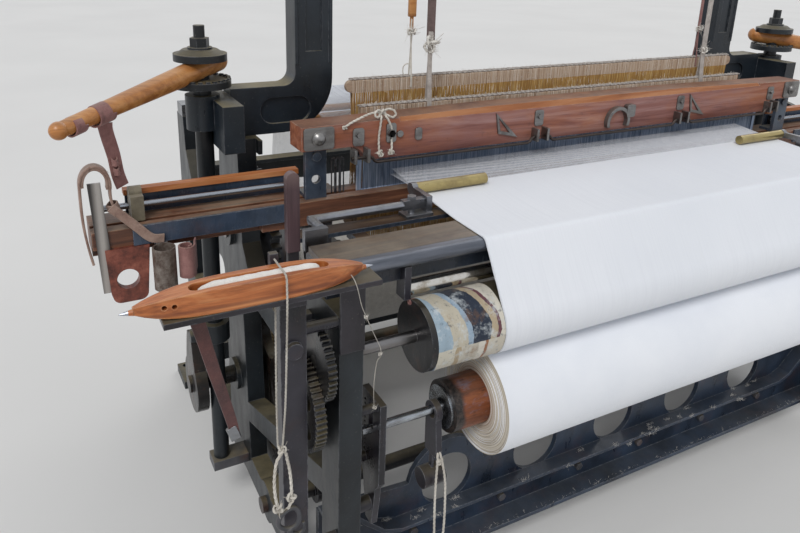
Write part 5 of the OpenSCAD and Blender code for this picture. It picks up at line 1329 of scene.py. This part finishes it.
class LOOM_OT_healds(bpy.types.Operator):
    """The healds: knitted loops round both staves, straps above and cords below"""

    bl_idname = "loom.healds"
    bl_label = "Healds"

    def execute(self, context):
        for name, body, y, top, ridge, shift, treadle, seed in (
                ("front", "heald_f", FRONT_HEALD, 977, 20, 0, (-34, 192), 5),
                ("back", "heald_b", BACK_HEALD, 1042, 2.5, 0.8, (34, 245.6), 6)):
            rng = np.random.default_rng(seed)
            self.loops(name, body, y, top, ridge, shift, context.scene.loom.heald_pitch, rng)
            roots = [mm(rng.uniform(-575, 575), y + rng.uniform(-5, 5), top + ridge) for _ in range(900)]
            roots += [mm(rng.uniform(-560, 560), y - 6.5, top - rng.uniform(-ridge, 30)) for _ in range(520)]
            fluff = hairs(roots, 0.0065, 0.00022, seed + 40, rise=0.9)
            settle(fluff, "stave_fluff_" + name, body, "lint", smooth=0)
            self.rail(name, body, y, top + ridge, rng)
            self.lower_cord(name, body, y, top, *treadle)
        self.straps()
        return {"FINISHED"}

    def loops(self, name, body, y, top, ridge, shift, pitch, rng):
        """Knitted loops over both staves, linked in the middle by an eye for the warp end."""
        ends = ((1, top - 26, top + ridge - 4, top + ridge), (-1, top - 300, top - 322.5, top - 326.5))
        lines = []
        for i in range(int(1.16 / pitch)):
            x = -580 + i * pitch * 1000 + shift
            eye = top - 163 + rng.normal(0, 0.7)
            for up, face, far, cap in ends:
                j = x + rng.normal(0, 0.35)
                near = eye + up * 11
                lean = rng.normal(0, 0.5)
                lines.append(in_mm([(x, y - 0.5, near), (j + lean, y - 3.4, (near + face) / 2),
                    (j, y - 6.1, face), (j, y - 6.1, far), (j, y - 3, cap), (j, y + 3, cap),
                    (j, y + 6.1, far), (j, y + 6.1, face), (j - lean, y + 3.4, (near + face) / 2),
                    (x, y + 0.5, near)]))
            for bow in (1.1, -1.1):
                lines.append(in_mm([(x, y, eye + 11), (x + bow, y, eye), (x, y, eye - 11)]))
        piece = settle(cut_out(*prisms(lines, 0.00105)), "heald_loops_" + name, body, "cord",
            smooth=0)
        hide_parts("heald_cords_" + name)

    def rail(self, name, body, y, top, rng):
        """Three whipping cords laid along the stave's top edge."""
        parts = []
        for k, (dy, dz) in enumerate(((-5.4, 0.2), (5.2, 0.0), (0, 1.4))):
            path = in_mm([(x, y + dy + 0.35 * math.sin(x / 9 + k), top + dz + rng.normal(0, 0.22))
                for x in np.linspace(-584, 584, 200)])
            parts.append(laid(even(path, 0.0022), plied(0.002, 2, 6), twist=230))
        settle(fuse(parts), "stave_whipping_" + name, body, "tape", smooth=60)

    def lower_cord(self, name, body, y, top, x, foot):
        """Twisted cord from the lower stave to its treadle."""
        path = curve([(x, y, top - 326.4), (x + 0.6, y, top - 420), (x - 0.6, y, foot + 90), (x, y, foot)],
            26)
        piece = laid(even(path, 0.003), plied(0.004, 3, 12), twist=150)
        settle(piece, "treadle_cord_" + name, body, "tape", smooth=60)

    def straps(self):
        """Leather straps from the top roller, tied with tape to the staves."""
        for name, body, x, y, top, wide, knot_z, low, tape, big, upper, lower in (
                ("front_left", "heald_f", -418, FRONT_HEALD, 996, 20, 1118, 1148, 11, 1.7, "band", "tape"),
                ("front_right", "heald_f", 428, FRONT_HEALD, 996, 17, 1070, 1100, 15, 1.0, "tape", "tape"),
                ("back_left", "heald_b", -440, BACK_HEALD, 1044, 9, 1139, 1245, 4, 1.0, "stick", "bow"),
                ("back_right", "heald_b", 452, BACK_HEALD, 1042, 9, 1120, 1150, 4.5, 1.0, "leather",
                    "leather")):
            path = curve([(x, y, 1409.5), (x + 0.4, y, 1300), (x - 0.5, y, 1200), (x, y, knot_z)], 14)
            piece = laid(path, strap_outline(wide / 1000, 0.0032), side=(1, 0, 0))
            between = (body, "frame", mm(x, y, low), mm(x, y, 1402))
            settle(piece, "heald_strap_" + name, between, upper)
            parts = []
            for s in (-1, 1):
                path = curve([(x + s * 1.2, y + s * 1.6, knot_z + 26), (x + s * 2.2, y + s * 2.4, knot_z),
                    (x + s * 1.0, y + s * 3.2, (knot_z + top) / 2), (x + s * 0.6, y + s * 6.7, top + 2),
                    (x, y + s * 7.0, top - 24)], 12)
                parts.append(laid(path, strap_outline(tape / 1000, 0.0014), side=(1, 0, 0)))
            settle(fuse(parts), "heald_tape_" + name, body, lower)
            knot("strap_knot_" + name, (x, y - 3, knot_z), 0.0055 * big, 0.0022 * big, body, "lint", abs(x))
            roots = [mm(x + k, y - 2, knot_z + 12 - abs(k) * 2 * big) for k in range(-8, 9)]
            tuft = hairs(roots * int(big * 3), 0.014, 0.00026, abs(x) + 1, rise=-0.4)
            settle(tuft, "strap_tuft_" + name, body, "lint", smooth=0)
        toggle = bevelled_bar((-448.5, 445, 1170), (-431.5, 455, 1238), 0.002)
        settle(toggle, "heald_toggle", "heald_b", "stick")
        curl = curve([(-441, 447, 1046), (-450, 446, 1042), (-460, 445, 1051), (-459, 445, 1066),
            (-448, 446, 1071), (-441, 447, 1062)], 8)
        settle(laid(even(curl, 0.0012), plied(0.0014), twist=300), "tape_curl", "heald_b", "bow",
            smooth=60)


class LOOM_OT_leathers(bpy.types.Operator):
    """Buffer loop, picking bands and the hanging strap"""

    bl_idname = "loom.leathers"
    bl_label = "Leathers"

    def execute(self, context):
        self.buffer()
        for side, s in SIDES:
            self.band(side, s)
        self.wrap()
        self.hanging()
        return {"FINISHED"}

    def buffer(self):
        """Two plies of leather arched over the slay's end, with the tail in front and a wrap at its foot."""
        centre = np.array((-1104, 918.0))
        arch = [centre + (24 * math.cos(math.radians(a)), 33.5 * math.sin(math.radians(a)))
            for a in range(-18, 190, 8)]
        foot = [(-1050, 840), (-1060, 847), (-1071, 860), (-1078, 876), (-1081, 892)]
        leg = [(-1128.5, 892), (-1128.5, 865), (-1127, 835), (-1123, 800), (-1119, 776)]
        inner = [centre + (p - centre) * (1 - 4.4 / np.linalg.norm(p - centre)) for p in arch]
        parts = []
        for line, y, wide in ((foot + arch + leg, 333.2, 0.0205), (inner, 333.4, 0.0185)):
            path = curve([(x, y, z) for x, z in line], 3)
            parts.append(laid(path, strap_outline(wide, 0.0042), side=(0, 1, 0)))
        tail = [(-1084, 314.7, 880), (-1066, 314.2, 862), (-1044, 313.8, 838), (-1022, 314.4, 815),
            (-1001, 314.9, 811)]
        parts.append(laid(curve(tail, 8), strap_outline(0.0165, 0.0036), side=(0.72, 0, 0.69)))
        wrap = [(-1088, 330, 874), (-1079, 345, 877), (-1070, 330, 880), (-1079, 317, 877), (-1088, 330, 874)]
        parts.append(laid(curve(wrap, 7), strap_outline(0.012, 0.0024), side=(-0.3, 0, 0.95)))
        roots = [mm(x, 322.8, z) for x, z in arch for _ in range(5)]
        parts.append(hairs(roots, 0.0042, 0.0002, 18, rise=0.0))
        piece = settle(fuse(parts), "buffer_leather", "slay", "buffer", smooth=45)
        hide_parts("buffer_straps")

    def wrap(self):
        """Rolled piece of leather that hangs under the race board, beside the cup."""
        path = curve([(x, y, 771) for x, y in ((-944, 331), (-947, 318), (-952, 303), (-954, 292),
            (-960, 282), (-969, 279), (-978, 284), (-981, 293), (-976, 302), (-967, 304), (-960, 299),
            (-960, 291), (-966, 287))], 5)
        settle(laid(path, strap_outline(0.06, 0.0032, 0.05), side=(0, 0, 1)), "race_leather", "slay",
            "leather")

    def band(self, side, s):
        """Two turns of leather round the picking stick and the band that drops to the picker."""
        drop, out = math.radians(8), math.radians(218)
        u = np.array((-math.cos(drop) * math.cos(out), math.cos(drop) * math.sin(out), -math.sin(drop)))
        base = np.array((875.0, 520.0, 1069.0))
        e1 = np.cross(u, (0, 0, 1))
        e1 /= np.linalg.norm(e1)
        e2 = np.cross(u, e1)
        mirror = np.array((s, 1, 1))
        parts = []
        for d0, d1, r, seed in ((246, 284, 18.6, 1), (306, 332, 16.4, 2)):
            steps = (d1 - d0) / 11.0 * 22
            pts = []
            for k in range(int(steps) + 1):
                a = 2 * math.pi * k / 22
                d = d0 + 5 + (d1 - d0 - 10) * k / steps
                rr = r - 1.3 + 0.5 * math.sin(3 * a + seed)
                pts.append((base + u * d + rr * (math.cos(a) * e1 + math.sin(a) * e2)) * mirror)
            parts.append(laid(in_mm(pts), strap_outline(0.0112, 0.0026), side=tuple(u * mirror)))
        x, y, z = base + u * 262
        for pts, wide, thick in (
                (
                    [(x - 5, y, z - 17), (x - 5, y, z - 32), (1067, y, 960), (1063, y, 925), (1057, y, 901)],
                    0.025, 0.0034),
                (
                    [(x + 1, y + 3, z - 16), (x - 3, y + 3, z - 40), (1071, y + 3, 966), (1066, y + 2, 940)],
                    0.019, 0.0028)):
            path = curve(np.array(pts, float) * mirror, 9)
            parts.append(laid(path, strap_outline(wide, thick), side=(0.9, -0.44 * s, 0)))
        for z, tilt in ((952, 2), (944, -1), (935, 1.5), (926, -2)):
            ring = [(s * (1067 - (952 - z) * 0.09 + 4.6 * math.cos(t)), y + 13.6 * math.sin(t),
                z + tilt * math.sin(t)) for t in round_once(24)]
            parts.append(laid(in_mm(ring), strap_outline(0.0068, 0.0024), side=(0, 0, 1), ring=True))
        piece = settle(fuse(parts), "picking_leather_" + side, "pick_" + side[0], "leather",
            smooth=45)
        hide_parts("picking_band_" + side)

    def hanging(self):
        """Strap that hangs from the flat bar, with a bright end fitting."""
        path = curve([(-1025, -36.2, 856.5), (-1022, -36.4, 835), (-1014, -35.6, 800), (-1003, -36.2, 750),
            (-991, -35.4, 700), (-982, -35.8, 660), (-977.5, -35.6, 634)], 8)
        facing = (0.96, 0.0, 0.28)
        piece = laid(path, strap_outline(0.0215, 0.0034), side=facing,
            swell=1 - 0.36 * np.linspace(0, 1, len(path)))
        settle(piece, "hanging_leather", "frame", "strap")
        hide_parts("hanging_strap")
        low = in_mm([(-984, -35.6, 652), (-979.5, -35.6, 640), (-976.8, -35.6, 630.5)])
        settle(laid(low, strap_outline(0.0158, 0.0056), side=facing), "strap_ferrule", "frame", "rod_steel")


class LOOM_OT_cap_string(bpy.types.Operator):
    """White string tied round the slay cap to hold the guard"""

    bl_idname = "loom.cap_string"
    bl_label = "Cap String"

    def execute(self, context):
        tie = [(-581, 304.6, 916), (-580.5, 312.6, 930), (-578, 319.4, 952), (-575, 319.6, 975),
            (-573, 320.4, 991), (-571, 327, 994.6), (-567, 333, 995.4), (-563, 328, 994.8),
            (-560, 320.2, 989), (-553, 319.2, 975), (-549, 319.2, 962), (-550, 317.6, 945), (-553, 311, 931),
            (-556, 304.8, 917)]
        tail = [(-568, 331, 997.6), (-580, 326, 1001), (-600, 321, 1000), (-620, 319, 994),
            (-640, 318.6, 986), (-652, 318.4, 979)]
        bows = (
            [(-566, 330, 1000), (-556, 326, 1006), (-545, 322, 1003), (-541, 320.5, 995), (-547, 321, 989.4),
                (-557, 324, 993.5), (-564, 329, 998.5)],
            [(-570, 329, 1000), (-577, 325, 1005), (-585, 321, 1003), (-587, 319.6, 996), (-580, 320.4, 992),
                (-573, 326, 997)])
        tie_path, tie_piece = self.strand(tie, 0.0024)
        tail_path, tail_piece = self.strand(tail, 0.0024)
        for piece, name in ((tie_piece, "cap_tie"), (tail_piece, "cap_tail")):
            settle(piece, name, "slay", "bow", smooth=60)
        bow, tip, *rod = [knot(name, spot, size, radius, "slay", "bow", seed)
            for name, spot, size, radius, seed in (("cap_knot", (-567, 330, 999.4), 0.0042, 0.0021, 33),
            ("cap_tail_knot", (-652, 318.6, 978.5), 0.0024, 0.0016, 35),
            ("rod_knot_a", (-580, 308, 921.5), 0.0036, 0.0019, 36),
            ("rod_knot_b", (-556, 308, 921.5), 0.0032, 0.0019, 37))]
        loops = fuse([self.strand(route, 0.0023)[1] for route in bows])
        settle(loops, "bow_loops", "slay", "bow", smooth=60)
        return {"FINISHED"}

    def strand(self, route, radius):
        """A length of the soft string, as its path and its piece."""
        path = even(curve(route, 12), 0.0015)
        return path, laid(path, plied(radius), twist=250)


class LOOM_OT_cop(bpy.types.Operator):
    """The cop of weft in the shuttle"""

    bl_idname = "loom.cop"
    bl_label = "Weft Cop"

    def execute(self, context):
        profile = [(-1.0235, 0.0004), (-1.0232, 0.0034), (-1.018, 0.0062), (-1.008, 0.0088)]
        for k in range(46):
            profile.append((-1.004 + 0.131 * k / 45, 0.0098 + 0.00022 * (k % 2)
                + 0.00025 * math.sin(k * 0.9)))
        profile += [(-0.868, 0.0092), (-0.862, 0.0078), (-0.8585, 0.005), (-0.8583, 0.0004)]
        piece = settle(turned(profile, COP, 48), "weft_cop", "frame", "cop", smooth=60)
        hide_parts("shuttle_cop")
        return {"FINISHED"}


class LOOM_OT_small_irons(bpy.types.Operator):
    """Shackle on the string, comb of wires beside the reed and leather packings"""

    bl_idname = "loom.small_irons"
    bl_label = "Small Irons"

    def execute(self, context):
        bow = [(-908 + 17 * math.sin(t), -60 + 2 * math.sin(2 * t), 477 + 19 * math.cos(t))
            for t in round_once(40)]
        hook = [(-908, -60, 459), (-904, -60, 448), (-893, -60, 442), (-884, -60, 449), (-885, -60, 462)]
        parts = [
            laid(in_mm(bow), rounded(0.0038, 12), ring=True),
            laid(curve(hook, 7), rounded(0.0042, 12), swell=np.linspace(1.2, 0.6, 29))]
        settle(fuse(parts), "string_shackle", "frame", "fastener")
        parts = []
        for x in (-668 + 9.6 * k for k in range(3)):
            wire = [(x, 346, 838), (x, 346, 880), (x, 346, 905), (x + 1.2, 346, 909.5), (x + 3.4, 346, 911.4),
                (x + 5.6, 346, 909.5), (x + 6.8, 346, 905), (x + 6.8, 346, 880), (x + 6.8, 346, 838)]
            parts.append(laid(curve(wire, 4), rounded(0.0015, 8)))
        settle(fuse(parts), "wire_comb", "slay", "machine")
        for k, (x, y, z, r) in enumerate(((-668, 6.4, 762.6, 7.5), (-660, 4.5, 760.5, 6.2))):
            pts = []
            for i in range(46):
                a = i * 0.42
                rr = r * (0.35 + 0.65 * i / 46)
                pts.append((x + 0.5 * math.sin(a * 1.7), y + 0.72 * rr * math.cos(a),
                    z + 0.6 * rr * math.sin(a)))
            piece = laid(in_mm(pts), strap_outline(0.012, 0.0014), side=(1, 0, 0))
            settle(piece, "tube_packing_%d" % (k + 1), "frame", "leather")
        return {"FINISHED"}


class LOOM_OT_lint(bpy.types.Operator):
    """Tufts of lint on the front rail"""

    bl_idname = "loom.lint"
    bl_label = "Lint"

    def execute(self, context):
        rng = np.random.default_rng(77)
        roots = []
        for _ in range(context.scene.loom.lint_tufts):
            x, y = rng.uniform(-740, 740), rng.uniform(104, 148)
            flange = 171 + 108 * max(0.0, (abs(x) - 560) / 217) ** 2
            roots += [mm(x + rng.normal(0, 5.5), y + rng.normal(0, 1.8), flange) for _ in range(26)]
        roots += [mm(rng.uniform(-770, 770), rng.uniform(103, 112), 86.4) for _ in range(260)]
        settle(hairs(roots, 0.0058, 0.00019, 78, rise=0.2), "rail_lint", "frame", "lint", smooth=0)
        return {"FINISHED"}


class LOOM_OT_finishes(bpy.types.Operator):
    """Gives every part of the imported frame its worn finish"""

    bl_idname = "loom.finishes"
    bl_label = "Finishes"

    def execute(self, context):
        for finish, names in NODES_OF_FINISH.items():
            for name in names.split():
                node = NODES[name]
                if not node.material_slots:
                    node.data.materials.append(finishes[finish])
                for slot in node.material_slots:
                    slot.material = finishes[finish]
        return {"FINISHED"}


class LOOM_PT_panel(bpy.types.Panel):
    """Shows the loom's settings and a button for each of its operators"""

    bl_label = "Loom"
    bl_idname = "LOOM_PT_panel"
    bl_space_type = "VIEW_3D"
    bl_region_type = "UI"
    bl_category = "Loom"

    def draw(self, context):
        settings = context.scene.loom
        for name in LoomSettings.__annotations__:
            self.layout.prop(settings, name)
        for operator in OPERATORS:
            self.layout.operator(operator.bl_idname)


OPERATORS = (LOOM_OT_stage, LOOM_OT_strings, LOOM_OT_finishes, LOOM_OT_warp, LOOM_OT_cloth,
    LOOM_OT_cloth_roll, LOOM_OT_roller_cover, LOOM_OT_reed, LOOM_OT_healds, LOOM_OT_leathers,
    LOOM_OT_cap_string, LOOM_OT_cop, LOOM_OT_small_irons, LOOM_OT_lint)
CLASSES = (LoomSettings, *OPERATORS, LOOM_PT_panel)


def register():
    for cls in CLASSES:
        bpy.utils.register_class(cls)
    bpy.types.Scene.loom = bpy.props.PointerProperty(type=LoomSettings)


def unregister():
    del bpy.types.Scene.loom
    for cls in reversed(CLASSES):
        bpy.utils.unregister_class(cls)


def main():
    register()
    finishes.update(make_finishes())
    for operator in OPERATORS:
        group, name = operator.bl_idname.split(".")
        getattr(getattr(bpy.ops, group), name)()


if __name__ == "__main__":
    main()
